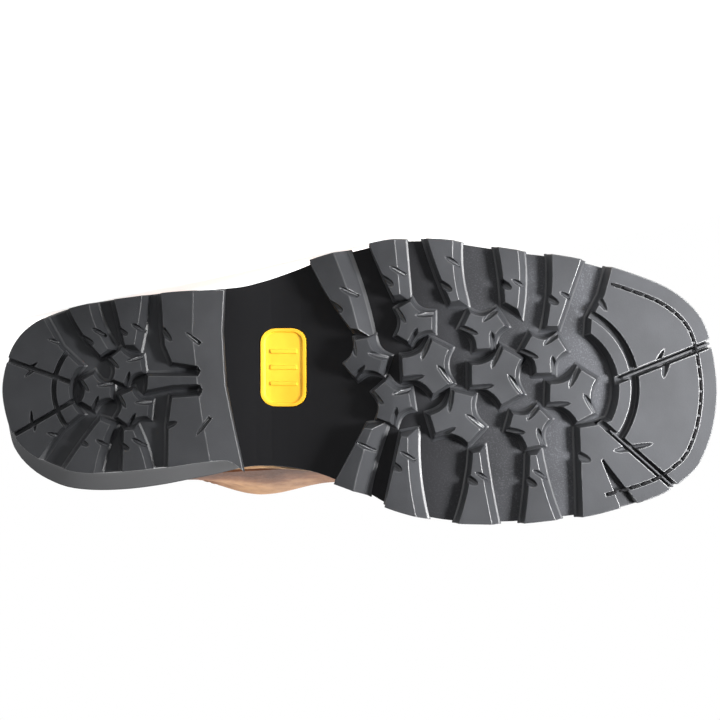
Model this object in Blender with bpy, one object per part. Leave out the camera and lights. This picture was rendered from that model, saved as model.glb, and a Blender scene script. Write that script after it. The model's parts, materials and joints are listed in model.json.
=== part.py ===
"""Right wellington work boot, lying on its outer side.

The pieces are modelled as the boot stands, in millimetres: x runs from the back of the heel to the toe, y towards the
inner (medial) side and z up from the ground. The outsole, welt, insole and plug are first made flat, with z as the
depth above the tread, and are then bent to the rocker of the last. At the end an empty lays the whole boot on its
outer side, on the plane that touches the sole's edge and the shaft, with the origin in the middle of the floor print.
"""

import math
from collections import namedtuple

import bmesh
import bpy
import numpy as np
from mathutils import Matrix, Vector

MM = 0.001
GAP = 0.3

# Rocker of the sole: the tread is flat under the ball, springs up at the toe and rises to the seat behind the waist.
TOE_TIP = 306.0
TOE_SPRING = 14.0
BALL_FRONT = 224.0
BALL_BACK = 176.0
SEAT_FRONT = 107.0
SEAT_LIFT = 19.0
BEND_STEP = 9.0

# Layers of the sole, as depths above the tread.
LUG_DEPTH = 7.0
PLATE = 5.0
PLATE_TOP = LUG_DEPTH + PLATE
WELT = 3.2
FEATHER = PLATE_TOP + WELT + 2.5 * GAP
INSOLE_TOP = FEATHER + 2.7

# Edges of the layers.
LUG_PROUD = 1.0
WELT_INSET = 0.6
WALL = 2.0
OVERLAY = 0.8
INSOLE_CLEAR = 0.4

# Lugs: sloped sides, sunk a little into what carries them, and run past the sole's edge before they are trimmed.
DRAFT = math.radians(13.0)
SINK = 1.0
OVERRUN = 4.0
BAR_STEPS = 4
GROOVE_DEPTH = 4.0
VALLEY = 0.45
VALLEY_STEPS = 4
ARC_STEPS = 9

# Heel block, standing on the ground under the seat.
HEEL_FLOOR = 6.5
HEEL_TOP = SEAT_LIFT + LUG_DEPTH - GAP
HEEL_WAIST_LEVEL = 13.0
HEEL_WAIST_SHARE = 0.22
HEEL_POINTS = 44
STRIP_RISE = 5.5
BREAST_LEAN = 1.5
CUT_AWAY = 40.0

# Plug in the waist.
PLUG_LENGTH = 18.0
PLUG_WIDTH = 34.0
PLUG_CORNER = 6.0
PLUG_CORNER_STEPS = 4
PLUG_U = 118.0
PLUG_Y = -7.5
PLUG_PROUD = 0.4
PLUG_POCKET = 1.8

# Spacing of the points of an outline: points worked out for each span, the longest step that is kept, and the most that
# the outline may turn over one step.
CURVE_STEPS = 10
LONGEST_STEP = 26.0
SHARPEST_TURN = math.radians(15.0)

# Clean-up of a finished mesh: points this close are one, and edges that turn more than this stay sharp.
SAME_POINT = 0.02
SLIVER = 0.01
SHARP_EDGE = math.radians(32.0)

# A face that the boot can lie on looks at least this much towards the outer side.
SIDEWAYS = 0.9

Edge = namedtuple("Edge", "u lateral medial")
Bar = namedtuple(
    "Bar", "side edge_back edge_front tip_back tip_back_out tip_front tip_front_out bow_back bow_front front_run"
)
Lug = namedtuple("Lug", "u lateral reach end_width turn")
Groove = namedtuple("Groove", "u lateral to_u to_lateral width to_width")
Arc = namedtuple("Arc", "u lateral inner outer start stop")
Corner = namedtuple("Corner", "u lateral")
Front = namedtuple("Front", "lateral crease breast")
Ring = namedtuple("Ring", "share rise swell front_in front_h back_in back_h sag lateral medial widest steps")
Finish = namedtuple("Finish", "colour roughness")

# Edge of the outsole plate: distances from the boot's own middle line to the outer and inner side.
SOLE_EDGE = [
    Edge(-1.8, -3.5, 3.5),
    Edge(0.5, 13.2, 22.8),
    Edge(4.0, 20.6, 30.7),
    Edge(10.0, 26.2, 37.0),
    Edge(17.0, 29.8, 41.4),
    Edge(26.0, 33.0, 44.8),
    Edge(38.0, 35.6, 46.0),
    Edge(52.0, 37.8, 45.5),
    Edge(66.0, 39.6, 43.7),
    Edge(78.0, 40.7, 41.4),
    Edge(90.0, 41.5, 39.0),
    Edge(102.0, 42.7, 36.1),
    Edge(111.0, 45.2, 35.4),
    Edge(121.0, 49.0, 36.1),
    Edge(131.0, 53.0, 38.1),
    Edge(141.0, 56.0, 41.6),
    Edge(152.0, 58.6, 45.6),
    Edge(163.0, 61.0, 51.2),
    Edge(176.0, 61.8, 55.2),
    Edge(190.0, 61.2, 57.9),
    Edge(205.0, 59.0, 58.6),
    Edge(220.0, 56.8, 58.4),
    Edge(236.0, 54.8, 56.8),
    Edge(250.0, 52.3, 55.2),
    Edge(262.5, 49.0, 52.2),
    Edge(274.0, 45.2, 49.0),
    Edge(283.0, 41.6, 45.6),
    Edge(290.5, 37.0, 40.8),
    Edge(297.0, 31.0, 35.0),
    Edge(301.5, 23.4, 26.6),
    Edge(304.6, 11.0, 16.2),
    Edge(TOE_TIP, -2.5, 2.5),
]

# Edge of the heel's tread. Its last row runs past the breast, where the heel is cut off.
HEEL_EDGE = [
    Edge(0.0, -2.0, 2.0),
    Edge(2.6, 12.0, 16.5),
    Edge(7.0, 20.4, 24.6),
    Edge(13.0, 26.0, 30.0),
    Edge(20.0, 29.6, 33.6),
    Edge(30.0, 33.2, 36.9),
    Edge(42.0, 35.8, 37.7),
    Edge(56.0, 37.8, 36.6),
    Edge(72.0, 39.8, 35.0),
    Edge(86.0, 40.6, 33.0),
    Edge(96.0, 40.8, 32.6),
    Edge(112.0, 41.0, 34.5),
]

# How far the foot of the upper stands in from the plate's edge.
FEATHER_MARGIN = [
    Edge(0.0, 3.0, 3.0),
    Edge(80.0, 3.0, 3.0),
    Edge(108.0, 3.0, 1.6),
    Edge(135.0, 4.0, 3.0),
    Edge(170.0, 6.5, 6.5),
    Edge(TOE_TIP, 6.0, 6.0),
]

# Bars along the edge of the forefoot: where each starts and ends on the edge, the two corners of its inner tip, how
# far its two sides bow towards the toe, and how far its toe side slopes out at its foot. Side -1 is lateral, 1 medial.
FOREFOOT_BARS = [
    Bar(-1, 129.7, 140.0, 148.5, 24.3, 151.9, 23.9, -1.7, 0.9, 4.4),
    Bar(-1, 155.3, 167.2, 166.8, 38.0, 169.8, 38.8, -0.4, 0.0, 4.4),
    Bar(-1, 180.5, 192.8, 191.5, 35.4, 195.0, 36.3, -0.6, -1.3, 3.8),
    Bar(-1, 211.0, 219.7, 214.6, 35.4, 220.1, 32.4, 0.6, 1.1, 2.8),
    Bar(-1, 234.2, 248.3, 232.5, 25.2, 237.2, 25.2, 1.3, 0.0, 2.2),
    Bar(1, 139.9, 149.3, 154.4, 18.3, 157.8, 18.8, 0.0, -0.9, 4.8),
    Bar(1, 162.5, 177.5, 170.2, 21.8, 173.2, 22.2, 0.0, -1.3, 4.8),
    Bar(1, 193.7, 209.9, 200.9, 29.0, 203.9, 28.6, 1.3, -0.4, 3.0),
    Bar(1, 222.3, 237.6, 225.3, 29.9, 228.2, 29.9, 0.6, -1.0, 3.0),
]

# Three-armed blocks in the middle of the forefoot.
FOREFOOT_LUGS = [
    Lug(154.0, 11.5, 8.2, 6.8, -21.0),
    Lug(175.3, 26.9, 8.2, 6.8, 0.0),
    Lug(205.6, 23.9, 8.3, 7.2, 33.0),
    Lug(181.7, 7.7, 10.8, 9.0, 63.0),
    Lug(231.6, 13.7, 8.5, 7.6, 31.0),
    Lug(211.6, 3.8, 11.2, 9.6, 60.0),
    Lug(165.9, -7.3, 8.4, 7.4, 10.0),
    Lug(194.1, -14.1, 10.6, 9.0, 77.0),
    Lug(225.2, -17.9, 8.3, 7.0, 45.0),
    Lug(244.4, -4.3, 10.6, 8.6, 58.0),
]

# Toe block: its back edge on each side, joined by a round basin, and the grooves that divide it.
TOE_BLOCK_LATERAL = [Corner(262.0, 56.0), Corner(257.2, 38.4), Corner(251.7, 28.6)]
TOE_BLOCK_MEDIAL = [Corner(253.8, -17.1), Corner(246.6, -18.3), Corner(247.4, -40.5), Corner(247.9, -62.0)]
TOE_BLOCK_FRONT = [Corner(TOE_TIP + OVERRUN, -62.0), Corner(TOE_TIP + OVERRUN, 56.0)]
TOE_BASIN = Arc(234.6, -1.7, 0.0, 29.0, 55.0, -28.0)
TOE_ARC_GROOVE = Arc(234.6, -1.7, 34.6, 38.0, 52.0, -26.0)
TOE_GROOVES = [
    Groove(264.0, 2.5, 309.0, 19.8, 2.8, 3.2),
    Groove(253.0, -13.6, 294.0, -49.2, 2.4, 3.0),
    Groove(256.4, -32.0, 271.0, -57.0, 0.8, 9.0),
]

# Heel tread: bars, three-armed blocks, the round back block and the front block with its tongue.
HEEL_BARS = [
    Bar(-1, 27.3, 36.7, 41.8, 12.8, 45.2, 15.4, -1.8, -1.8, 3.6),
    Bar(-1, 46.9, 60.2, 52.5, 17.1, 56.3, 17.1, 0.0, 0.4, 3.2),
    Bar(1, 24.7, 38.8, 41.8, 15.0, 46.0, 17.0, -0.6, -1.3, 3.0),
    Bar(1, 51.2, 62.3, 52.0, 19.3, 55.9, 19.3, 0.0, 0.8, 2.8),
]
HEEL_LUGS = [
    Lug(39.6, -2.6, 6.6, 5.6, 0.0),
    Lug(52.5, 7.7, 6.8, 5.8, 8.0),
    Lug(55.5, -9.8, 6.8, 5.8, -6.0),
]
BACK_BLOCK_LATERAL = [Corner(-10.0, 36.0), Corner(14.5, 34.0), Corner(24.7, 15.8), Corner(32.8, 8.1)]
BACK_BLOCK_MEDIAL = [Corner(32.8, -12.4), Corner(24.7, -18.8), Corner(11.9, -37.0), Corner(-10.0, -37.0)]
BACK_BASIN = Arc(43.1, -2.1, 0.0, 14.5, 135.0, 225.0)
BACK_ARC_GROOVE = Arc(47.4, -2.1, 24.3, 26.4, 128.0, 232.0)
BACK_GROOVES = [
    Groove(-4.0, 13.0, 29.0, 1.3, 2.0, 2.0),
    Groove(-4.0, -26.6, 30.3, -6.8, 2.0, 2.0),
]
FRONT_BLOCK = [
    Corner(67.4, 48.0),
    Corner(68.7, 25.6),
    Corner(69.5, 17.1),
    Corner(72.5, 9.8),
    Corner(83.6, 8.1),
    Corner(84.9, 6.0),
    Corner(83.6, 3.8),
    Corner(62.3, 3.8),
    Corner(61.9, -2.1),
    Corner(72.5, 0.0),
    Corner(84.5, 0.4),
    Corner(85.7, -2.1),
    Corner(84.5, -4.7),
    Corner(72.5, -5.5),
    Corner(71.0, -17.1),
    Corner(70.8, -44.0),
    Corner(118.0, -44.0),
    Corner(118.0, 48.0),
]

# Front of the heel: the crease where the bare strip leaves the ground, and the breast where it ends.
HEEL_FRONT = [
    Front(56.0, 81.5, 96.0),
    Front(23.0, 81.0, 94.3),
    Front(0.0, 83.2, 95.6),
    Front(-17.0, 85.8, 99.0),
    Front(-56.0, 93.0, 107.5),
]

# Rings of the upper from its foot to the collar. Share is how far a ring follows the sole's outline and not an oval;
# rise and swell lift and widen that outline. The front and back columns give where the oval's ends lie, inward from
# the foot and above the ground; sag lowers its sides, widest is where along its length it is widest, and steps is the
# number of rings to the next row. The vamp and counter end at the seam row, and the shaft goes on above it.
UPPER_RINGS = [
    Ring(1.00, 0.0, 0.0, 0.0, 27.0, 0.0, 35.0, 0.0, 50.0, 48.0, 0.56, 1),
    Ring(1.00, 8.0, 1.4, -2.0, 36.0, -1.5, 43.0, 0.0, 50.0, 48.0, 0.56, 1),
    Ring(0.94, 17.0, 1.8, -1.0, 46.0, -2.0, 51.0, 0.0, 49.0, 47.0, 0.54, 2),
    Ring(0.76, 26.0, 1.2, 6.0, 55.0, -1.7, 59.0, 0.0, 48.0, 45.0, 0.52, 2),
    Ring(0.50, 34.0, 0.0, 23.0, 63.0, -0.7, 67.0, 0.0, 43.4, 43.0, 0.50, 2),
    Ring(0.24, 42.0, 0.0, 48.0, 70.5, 1.0, 75.0, 0.0, 41.8, 41.0, 0.48, 3),
    Ring(0.08, 50.0, 0.0, 77.0, 81.0, 3.0, 83.0, 4.0, 41.2, 40.2, 0.46, 3),
    Ring(0.00, 58.0, 0.0, 108.0, 101.5, 5.2, 91.0, 14.0, 40.8, 40.0, 0.46, 3),
    Ring(0.00, 66.0, 0.0, 137.5, 132.0, 7.2, 99.0, 26.0, 41.0, 40.0, 0.48, 2),
    Ring(0.00, 66.0, 0.0, 149.0, 157.0, 9.8, 120.0, 22.0, 41.6, 40.4, 0.50, 2),
    Ring(0.00, 66.0, 0.0, 154.5, 187.0, 10.0, 150.0, 14.0, 42.6, 40.8, 0.50, 2),
    Ring(0.00, 66.0, 0.0, 156.0, 220.0, 8.0, 190.0, 6.0, 44.0, 41.2, 0.50, 2),
    Ring(0.00, 66.0, 0.0, 155.0, 257.0, 4.5, 242.0, 2.0, 45.6, 41.6, 0.50, 1),
    Ring(0.00, 66.0, 0.0, 152.5, 300.0, 1.0, 298.0, 0.0, 47.0, 42.0, 0.50, 1),
]
SEAM_ROW = 8
INNER_SKIP = 2
SEAM_LIP = 0.35
FULLNESS = 0.9

# Swelling of the inner side over the narrow waist.
ARCH_SWELL = 10.0
ARCH_SWELL_U = 108.0
ARCH_SWELL_H = 78.0
ARCH_SWELL_LENGTH = 18.0
ARCH_SWELL_HEIGHT = 30.0

# Densities for the balance of the lying boot, in grams per cubic centimetre.
RUBBER_DENSITY = 1.15
LEATHER_DENSITY = 0.95

FINISHES = {
    "outsole": Finish((0.028, 0.028, 0.030), 0.50),
    "heel": Finish((0.034, 0.034, 0.035), 0.50),
    "welt": Finish((0.16, 0.085, 0.045), 0.60),
    "insole": Finish((0.38, 0.24, 0.13), 0.75),
    "upper": Finish((0.30, 0.155, 0.085), 0.48),
    "waist_plug": Finish((0.72, 0.47, 0.045), 0.40),
}
DENSITIES = {"outsole": RUBBER_DENSITY, "heel": RUBBER_DENSITY, "waist_plug": RUBBER_DENSITY}


def tread_height(u):
    """Height of the tread above the ground at u."""
    if u > BALL_FRONT:
        return TOE_SPRING * ((u - BALL_FRONT) / (TOE_TIP - BALL_FRONT)) ** 2
    share = min(max((BALL_BACK - u) / (BALL_BACK - SEAT_FRONT), 0.0), 1.0)
    return SEAT_LIFT * share * share * (3 - 2 * share)


def lasted(u, y, depth):
    """Where a point of the flat sole lies once the sole is bent to the last."""
    slope = tread_height(u + 0.5) - tread_height(u - 0.5)
    length = math.hypot(1.0, slope)
    return Vector((u - slope / length * depth, y, tread_height(u) + depth / length))


def smooth_loop(points):
    """A closed Catmull-Rom curve through the points."""
    points = np.array(points, float)
    before, after, beyond = np.roll(points, 1, 0), np.roll(points, -1, 0), np.roll(points, -2, 0)
    spans = []
    for t in np.arange(CURVE_STEPS) / CURVE_STEPS:
        weights = (
            -0.5 * t + t**2 - 0.5 * t**3,
            1 - 2.5 * t**2 + 1.5 * t**3,
            0.5 * t + 2 * t**2 - 1.5 * t**3,
            -0.5 * t**2 + 0.5 * t**3,
        )
        spans.append(sum(w * p for w, p in zip(weights, (before, points, after, beyond))))
    return np.stack(spans, 1).reshape(-1, 2)


def spread(loop):
    """The points of a dense outline that its length needs, and its turning once it is bent to the last."""
    bent = np.array([lasted(u, y, 0.0) for u, y in loop])
    ahead = np.roll(bent, -1, 0) - bent
    length = np.linalg.norm(ahead, axis=1)
    cosine = (ahead * np.roll(ahead, 1, 0)).sum(1) / (length * np.roll(length, 1))
    turn = np.arccos(np.clip(cosine, -1.0, 1.0))
    need = np.cumsum(length / LONGEST_STEP + turn / SHARPEST_TURN)
    count = int(math.ceil(need[-1]))
    wanted = np.arange(count) * need[-1] / count
    return loop[np.searchsorted(need, wanted)]


def edge_loop(rows):
    """The smooth closed outline of a table of edges, counter-clockwise from above."""
    outer = [(row.u, -row.lateral) for row in rows]
    inner = [(row.u, row.medial) for row in rows[-2:0:-1]]
    return smooth_loop(outer + inner)


def across(rows, u, side):
    """Distance from the middle line to the edge at u."""
    column = "lateral" if side < 0 else "medial"
    return np.interp(u, [row.u for row in rows], [getattr(row, column) for row in rows])


def counter_clockwise(points):
    """The points of a closed outline, turned round if they run clockwise."""
    points = np.array(points, float)
    following = np.roll(points, -1, 0)
    area = (points[:, 0] * following[:, 1] - following[:, 0] * points[:, 1]).sum()
    return points if area > 0 else points[::-1]


def offset(loop, distance):
    """The counter-clockwise loop moved outwards by a distance, or by one distance for each point."""
    loop = np.array(loop, float)
    ahead = np.roll(loop, -1, 0) - loop
    ahead /= np.linalg.norm(ahead, axis=1, keepdims=True)
    normal = np.stack([ahead[:, 1], -ahead[:, 0]], 1)
    both = normal + np.roll(normal, 1, 0)
    miter = 2 * both / np.maximum((both**2).sum(1, keepdims=True), 1.0)
    return loop + miter * np.reshape(distance, (-1, 1))


def plan(corners):
    """Table corners as points of the plan, in which y runs to the inner side."""
    return [(corner.u, -corner.lateral) for corner in corners]


def arc_points(arc, radius):
    """Points of the plan along an arc of the table, at a radius."""
    angles = np.radians(np.linspace(arc.start, arc.stop, ARC_STEPS))
    return [(arc.u + radius * math.cos(a), -arc.lateral - radius * math.sin(a)) for a in angles]


def solid(name, rings, closed=False):
    """An object of stacked rings of points: capped at both ends, or joined end to end when closed."""
    mesh = bmesh.new()
    rows = [[mesh.verts.new(point) for point in ring] for ring in rings]
    pairs = list(zip(rows, rows[1:])) + ([(rows[-1], rows[0])] if closed else [])
    for low, high in pairs:
        for i in range(len(low)):
            j = (i + 1) % len(low)
            mesh.faces.new((low[i], low[j], high[j], high[i]))
    if not closed:
        mesh.faces.new(rows[0][::-1])
        mesh.faces.new(rows[-1])
    data = bpy.data.meshes.new(name)
    mesh.to_mesh(data)
    mesh.free()
    thing = bpy.data.objects.new(name, data)
    bpy.context.scene.collection.objects.link(thing)
    return thing


def level(loop, z):
    """The outline as points at one height."""
    return [(x, y, z) for x, y in loop]


def prism(name, loop, low, high, top_loop=None):
    """A solid between two heights with the given outline, or with another one at its top."""
    loop = counter_clockwise(loop)
    top = loop if top_loop is None else top_loop
    return solid(name, [level(loop, low), level(top, high)])


def combine(target, tool, operation):
    """Applies a Boolean of the target with a tool, and removes the tool."""
    modifier = target.modifiers.new(operation.lower(), "BOOLEAN")
    modifier.operation = operation
    modifier.object = tool
    modifier.use_self = True
    graph = bpy.context.evaluated_depsgraph_get()
    result = bpy.data.meshes.new_from_object(target.evaluated_get(graph))
    target.modifiers.clear()
    target.data = result
    bpy.data.objects.remove(tool)


def merged(things):
    """One object that holds the meshes of several."""
    mesh = bmesh.new()
    for thing in things:
        mesh.from_mesh(thing.data)
    keeper = things[0]
    mesh.to_mesh(keeper.data)
    mesh.free()
    for thing in things[1:]:
        bpy.data.objects.remove(thing)
    return keeper


def lug_block(loop, depth):
    """A block with sloped sides that stands depth high, its ground face the given outline."""
    ground = counter_clockwise(loop)
    foot = offset(ground, (depth + SINK) * math.tan(DRAFT))
    return prism("block", ground, 0.0, depth + SINK, foot)


def bar_block(bar, edge_rows, depth):
    """A block along a bar's outline, whose toe side slopes out further than the rest."""
    outline = bar_loop(bar, edge_rows)
    run = np.full(len(outline), depth * math.tan(DRAFT))
    run[BAR_STEPS:] = bar.front_run
    ground = counter_clockwise(outline)
    if not np.allclose(ground[0], outline[0]):
        run = run[::-1]
    foot = offset(ground, run * (depth + SINK) / depth)
    return prism("block", ground, 0.0, depth + SINK, foot)


def bar_loop(bar, edge_rows):
    """Outline of a bar that runs in from the edge and narrows to its tip."""

    def side(edge_u, tip_u, tip_out, bow):
        edge_out = across(edge_rows, edge_u, bar.side) + OVERRUN
        t = np.linspace(0.0, 1.0, BAR_STEPS)
        us = edge_u + (tip_u - edge_u) * t + 4 * bow * t * (1 - t)
        outs = edge_out + (tip_out - edge_out) * t
        return list(zip(us, bar.side * outs))

    back = side(bar.edge_back, bar.tip_back, bar.tip_back_out, bar.bow_back)
    front = side(bar.edge_front, bar.tip_front, bar.tip_front_out, bar.bow_front)
    return back + front[::-1]


def three_armed_loop(lug):
    """Outline of a block with three flat-ended arms and hollow sides between them."""
    middle = np.array((lug.u, -lug.lateral))
    points = []
    for arm in range(3):
        angle = -math.radians(lug.turn + 120.0 * arm)
        along = np.array((math.cos(angle), math.sin(angle)))
        beside = np.array((along[1], -along[0])) * lug.end_width / 2
        next_angle = angle - math.radians(120.0)
        next_along = np.array((math.cos(next_angle), math.sin(next_angle)))
        next_beside = np.array((next_along[1], -next_along[0])) * lug.end_width / 2
        points.append(along * lug.reach - beside)
        start = along * lug.reach + beside
        stop = next_along * lug.reach - next_beside
        valley = (along + next_along) * lug.reach * VALLEY
        for t in np.arange(VALLEY_STEPS) / VALLEY_STEPS:
            points.append(start * (1 - t) ** 2 + 2 * valley * t * (1 - t) + stop * t * t)
    return [middle + point for point in points]


def groove_cutter(groove):
    """What a straight groove takes out of a block."""
    start = np.array((groove.u, -groove.lateral))
    stop = np.array((groove.to_u, -groove.to_lateral))
    along = (stop - start) / np.linalg.norm(stop - start)
    beside = np.array((-along[1], along[0])) / 2
    loop = [
        start - beside * groove.width,
        stop - beside * groove.to_width,
        stop + beside * groove.to_width,
        start + beside * groove.width,
    ]
    return prism("groove", loop, -SINK, GROOVE_DEPTH)


def arc_cutter(arc):
    """What a round groove takes out of a block."""
    loop = arc_points(arc, arc.outer) + arc_points(arc, arc.inner)[::-1]
    return prism("arc groove", loop, -SINK, GROOVE_DEPTH)


def bend(thing):
    """Cuts a flat piece across at even steps and bends it to the last."""
    mesh = bmesh.new()
    mesh.from_mesh(thing.data)
    for u in np.arange(SEAT_FRONT, TOE_TIP, BEND_STEP):
        everything = mesh.verts[:] + mesh.edges[:] + mesh.faces[:]
        bmesh.ops.bisect_plane(mesh, geom=everything, dist=SLIVER, plane_co=(u, 0, 0), plane_no=(1, 0, 0))
    for vert in mesh.verts:
        vert.co = lasted(*vert.co)
    mesh.to_mesh(thing.data)
    mesh.free()


def feather_loop(sole_loop):
    """Plan of the foot of the upper, one point for each point of the sole's outline."""
    margins = [across(FEATHER_MARGIN, u, -1 if y < 0 else 1) for u, y in sole_loop]
    return offset(sole_loop, -np.array(margins))


def plug_loop(grow):
    """Outline of the plug, with its rounded corners, grown by a distance."""
    half_length, half_width = PLUG_LENGTH / 2 + grow, PLUG_WIDTH / 2 + grow
    corner = PLUG_CORNER + grow
    points = []
    for quarter, (sx, sy) in enumerate(((1, 1), (-1, 1), (-1, -1), (1, -1))):
        for step in range(PLUG_CORNER_STEPS + 1):
            angle = math.radians(90.0 * (quarter + step / PLUG_CORNER_STEPS))
            x = PLUG_U + sx * (half_length - corner) + corner * math.cos(angle)
            y = PLUG_Y + sy * (half_width - corner) + corner * math.sin(angle)
            points.append((x, y))
    return points


def make_outsole(sole_loop):
    """The outsole: a plate with a pocket for the plug, and the forefoot's lugs under it."""
    loops = [three_armed_loop(lug) for lug in FOREFOOT_LUGS]
    basin = arc_points(TOE_BASIN, TOE_BASIN.outer)
    loops.append(plan(TOE_BLOCK_LATERAL) + basin + plan(TOE_BLOCK_MEDIAL + TOE_BLOCK_FRONT))
    bars = [bar_block(bar, SOLE_EDGE, LUG_DEPTH) for bar in FOREFOOT_BARS]
    lugs = merged(bars + [lug_block(loop, LUG_DEPTH) for loop in loops])
    trim = prism("trim", offset(sole_loop, LUG_PROUD), -SINK, LUG_DEPTH + 2 * SINK)
    combine(lugs, trim, "INTERSECT")
    combine(lugs, merged([groove_cutter(groove) for groove in TOE_GROOVES]), "DIFFERENCE")
    combine(lugs, arc_cutter(TOE_ARC_GROOVE), "DIFFERENCE")
    outsole = prism("outsole", sole_loop, LUG_DEPTH, PLATE_TOP)
    combine(outsole, lugs, "UNION")
    pocket = prism("pocket", plug_loop(GAP), LUG_DEPTH - SINK, LUG_DEPTH + PLUG_POCKET)
    combine(outsole, pocket, "DIFFERENCE")
    bend(outsole)
    return outsole


def make_plug():
    """The plug, a plain plate let into the pocket of the waist."""
    plug = prism("waist_plug", plug_loop(0.0), LUG_DEPTH - PLUG_PROUD, LUG_DEPTH + PLUG_POCKET - GAP)
    bend(plug)
    return plug


def walked(loop, count):
    """Evenly spaced points along an open run of points."""
    steps = np.hypot(*np.diff(loop, axis=0).T)
    length = np.concatenate([[0.0], np.cumsum(steps)])
    wanted = np.linspace(0.0, length[-1], count)
    return np.stack([np.interp(wanted, length, loop[:, k]) for k in range(2)], 1)


def heel_outline(rows):
    """The heel's outline from its inner front corner round the back to its outer front corner."""
    inner = [(row.u, row.medial) for row in rows[::-1]]
    outer = [(row.u, -row.lateral) for row in rows[1:]]
    without_closing_span = smooth_loop(inner + outer)[: 1 - CURVE_STEPS]
    return walked(without_closing_span, HEEL_POINTS)


def heel_front_cutter():
    """What is cut off in front of the breast and under the bare strip."""
    rings = []
    for row in HEEL_FRONT:
        slope = (row.breast - row.crease) / STRIP_RISE
        profile = [
            (row.crease - slope * SINK, -SINK),
            (row.breast + CUT_AWAY, -SINK),
            (row.breast + CUT_AWAY, HEEL_TOP + SINK),
            (row.breast + BREAST_LEAN, HEEL_TOP + SINK),
            (row.breast, STRIP_RISE),
        ]
        rings.append([(u, -row.lateral, z) for u, z in profile])
    return solid("heel front", rings[::-1])


def make_heel():
    """The heel block with its lugs, flaring from the tread to the seat."""
    tread = heel_outline(HEEL_EDGE)
    seat_rows = [row for row in SOLE_EDGE if row.u <= HEEL_EDGE[-1].u]
    seat = heel_outline(seat_rows)
    waist = tread + (seat - tread) * HEEL_WAIST_SHARE
    heel = solid("heel", [level(tread, HEEL_FLOOR), level(waist, HEEL_WAIST_LEVEL), level(seat, HEEL_TOP)])
    loops = [three_armed_loop(lug) for lug in HEEL_LUGS]
    back_basin = arc_points(BACK_BASIN, BACK_BASIN.outer)
    loops.append(plan(BACK_BLOCK_LATERAL) + back_basin[1:-1] + plan(BACK_BLOCK_MEDIAL))
    loops.append(plan(FRONT_BLOCK))
    bars = [bar_block(bar, HEEL_EDGE, HEEL_FLOOR) for bar in HEEL_BARS]
    lugs = merged(bars + [lug_block(loop, HEEL_FLOOR) for loop in loops])
    combine(lugs, prism("trim", tread, -SINK, HEEL_FLOOR + 2 * SINK), "INTERSECT")
    combine(lugs, merged([groove_cutter(groove) for groove in BACK_GROOVES]), "DIFFERENCE")
    combine(lugs, arc_cutter(BACK_ARC_GROOVE), "DIFFERENCE")
    combine(heel, lugs, "UNION")
    combine(heel, heel_front_cutter(), "DIFFERENCE")
    return heel


def make_welt(sole_loop, foot):
    """The welt: a flat strip on the plate's edge, under the foot of the upper."""
    outer = offset(sole_loop, -WELT_INSET)
    inner = offset(foot, -(WALL + INSOLE_CLEAR - GAP))
    low, high = PLATE_TOP + GAP, PLATE_TOP + GAP + WELT
    rings = [level(outer, low), level(outer, high), level(inner, high), level(inner, low)]
    welt = solid("welt", rings, closed=True)
    bend(welt)
    return welt


def make_insole(foot):
    """The insole, a plate inside the welt and the foot of the upper."""
    insole = prism("insole", offset(foot, -(WALL + INSOLE_CLEAR)), PLATE_TOP + GAP, INSOLE_TOP)
    bend(insole)
    return insole


def ring_points(row, foot, base):
    """One ring of the upper's outer form: its points follow the foot's outline and an oval in turn."""
    u = base[:, 0]
    front, back = u.max(), u.min()
    along = (u - back) / (front - back)
    ring_front, ring_back = front - row.front_in, back + row.back_in
    middle = base[np.argmax(u), 1]
    inner = base[:, 1] > middle
    swelled = offset(foot, row.swell) - foot
    bent = np.clip(along, 0.0, 1.0) ** (math.log(0.5) / math.log(row.widest))
    round_off = np.sqrt(np.clip(1 - (2 * bent - 1) ** 2, 0.0, 1.0)) ** FULLNESS
    oval_y = middle + np.where(inner, row.medial - middle, -row.lateral - middle) * round_off
    oval_z = row.back_h + (row.front_h - row.back_h) * along - row.sag * round_off**2
    x = ring_back + (ring_front - ring_back) * along
    y = row.share * (base[:, 1] + swelled[:, 1]) + (1 - row.share) * oval_y
    z = row.share * (base[:, 2] + row.rise) + (1 - row.share) * oval_z
    away = ((x - ARCH_SWELL_U) / ARCH_SWELL_LENGTH) ** 2 + ((z - ARCH_SWELL_H) / ARCH_SWELL_HEIGHT) ** 2
    y = y + np.where(inner, ARCH_SWELL * round_off * np.exp(-away / 2), 0.0)
    return np.stack([x, y, z], 1)


def between(rows):
    """Table rows with the rings between them worked out by a smooth curve through each column."""
    values = np.array(rows, float)
    extended = np.vstack([2 * values[0] - values[1], values, 2 * values[-1] - values[-2]])
    result = []
    for i, row in enumerate(rows[:-1]):
        a, b, c, d = extended[i : i + 4]
        for t in np.arange(row.steps) / row.steps:
            curve = b + 0.5 * t * (c - a + t * (2 * a - 5 * b + 4 * c - d + t * (3 * (b - c) + d - a)))
            result.append(Ring(*curve))
    return result + [rows[-1]]


def outward(grid):
    """Unit normals of a grid of rings, level at the first and last ring so that the rims stay flat."""
    around = np.roll(grid, -1, 1) - np.roll(grid, 1, 1)
    upward = np.gradient(grid, axis=0)
    normal = np.cross(around, upward)
    normal[[0, -1], :, 2] = 0.0
    return normal / np.linalg.norm(normal, axis=2, keepdims=True)


def make_upper(foot):
    """The upper: one hollow wall from the welt to the collar, with the vamp and counter a step thicker."""
    base = np.array([lasted(u, y, FEATHER) for u, y in foot])
    grid = np.array([ring_points(row, foot, base) for row in between(UPPER_RINGS)])
    normal = outward(grid)
    seam = sum(row.steps for row in UPPER_RINGS[:SEAM_ROW]) + 1
    lip = grid[seam - 1] + (0, 0, SEAM_LIP)
    outer = list(grid[:seam] + OVERLAY * normal[:seam]) + [lip] + list(grid[seam:])
    inner = list((grid - WALL * normal)[::-INNER_SKIP])
    return solid("upper", outer + inner, closed=True)


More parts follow.
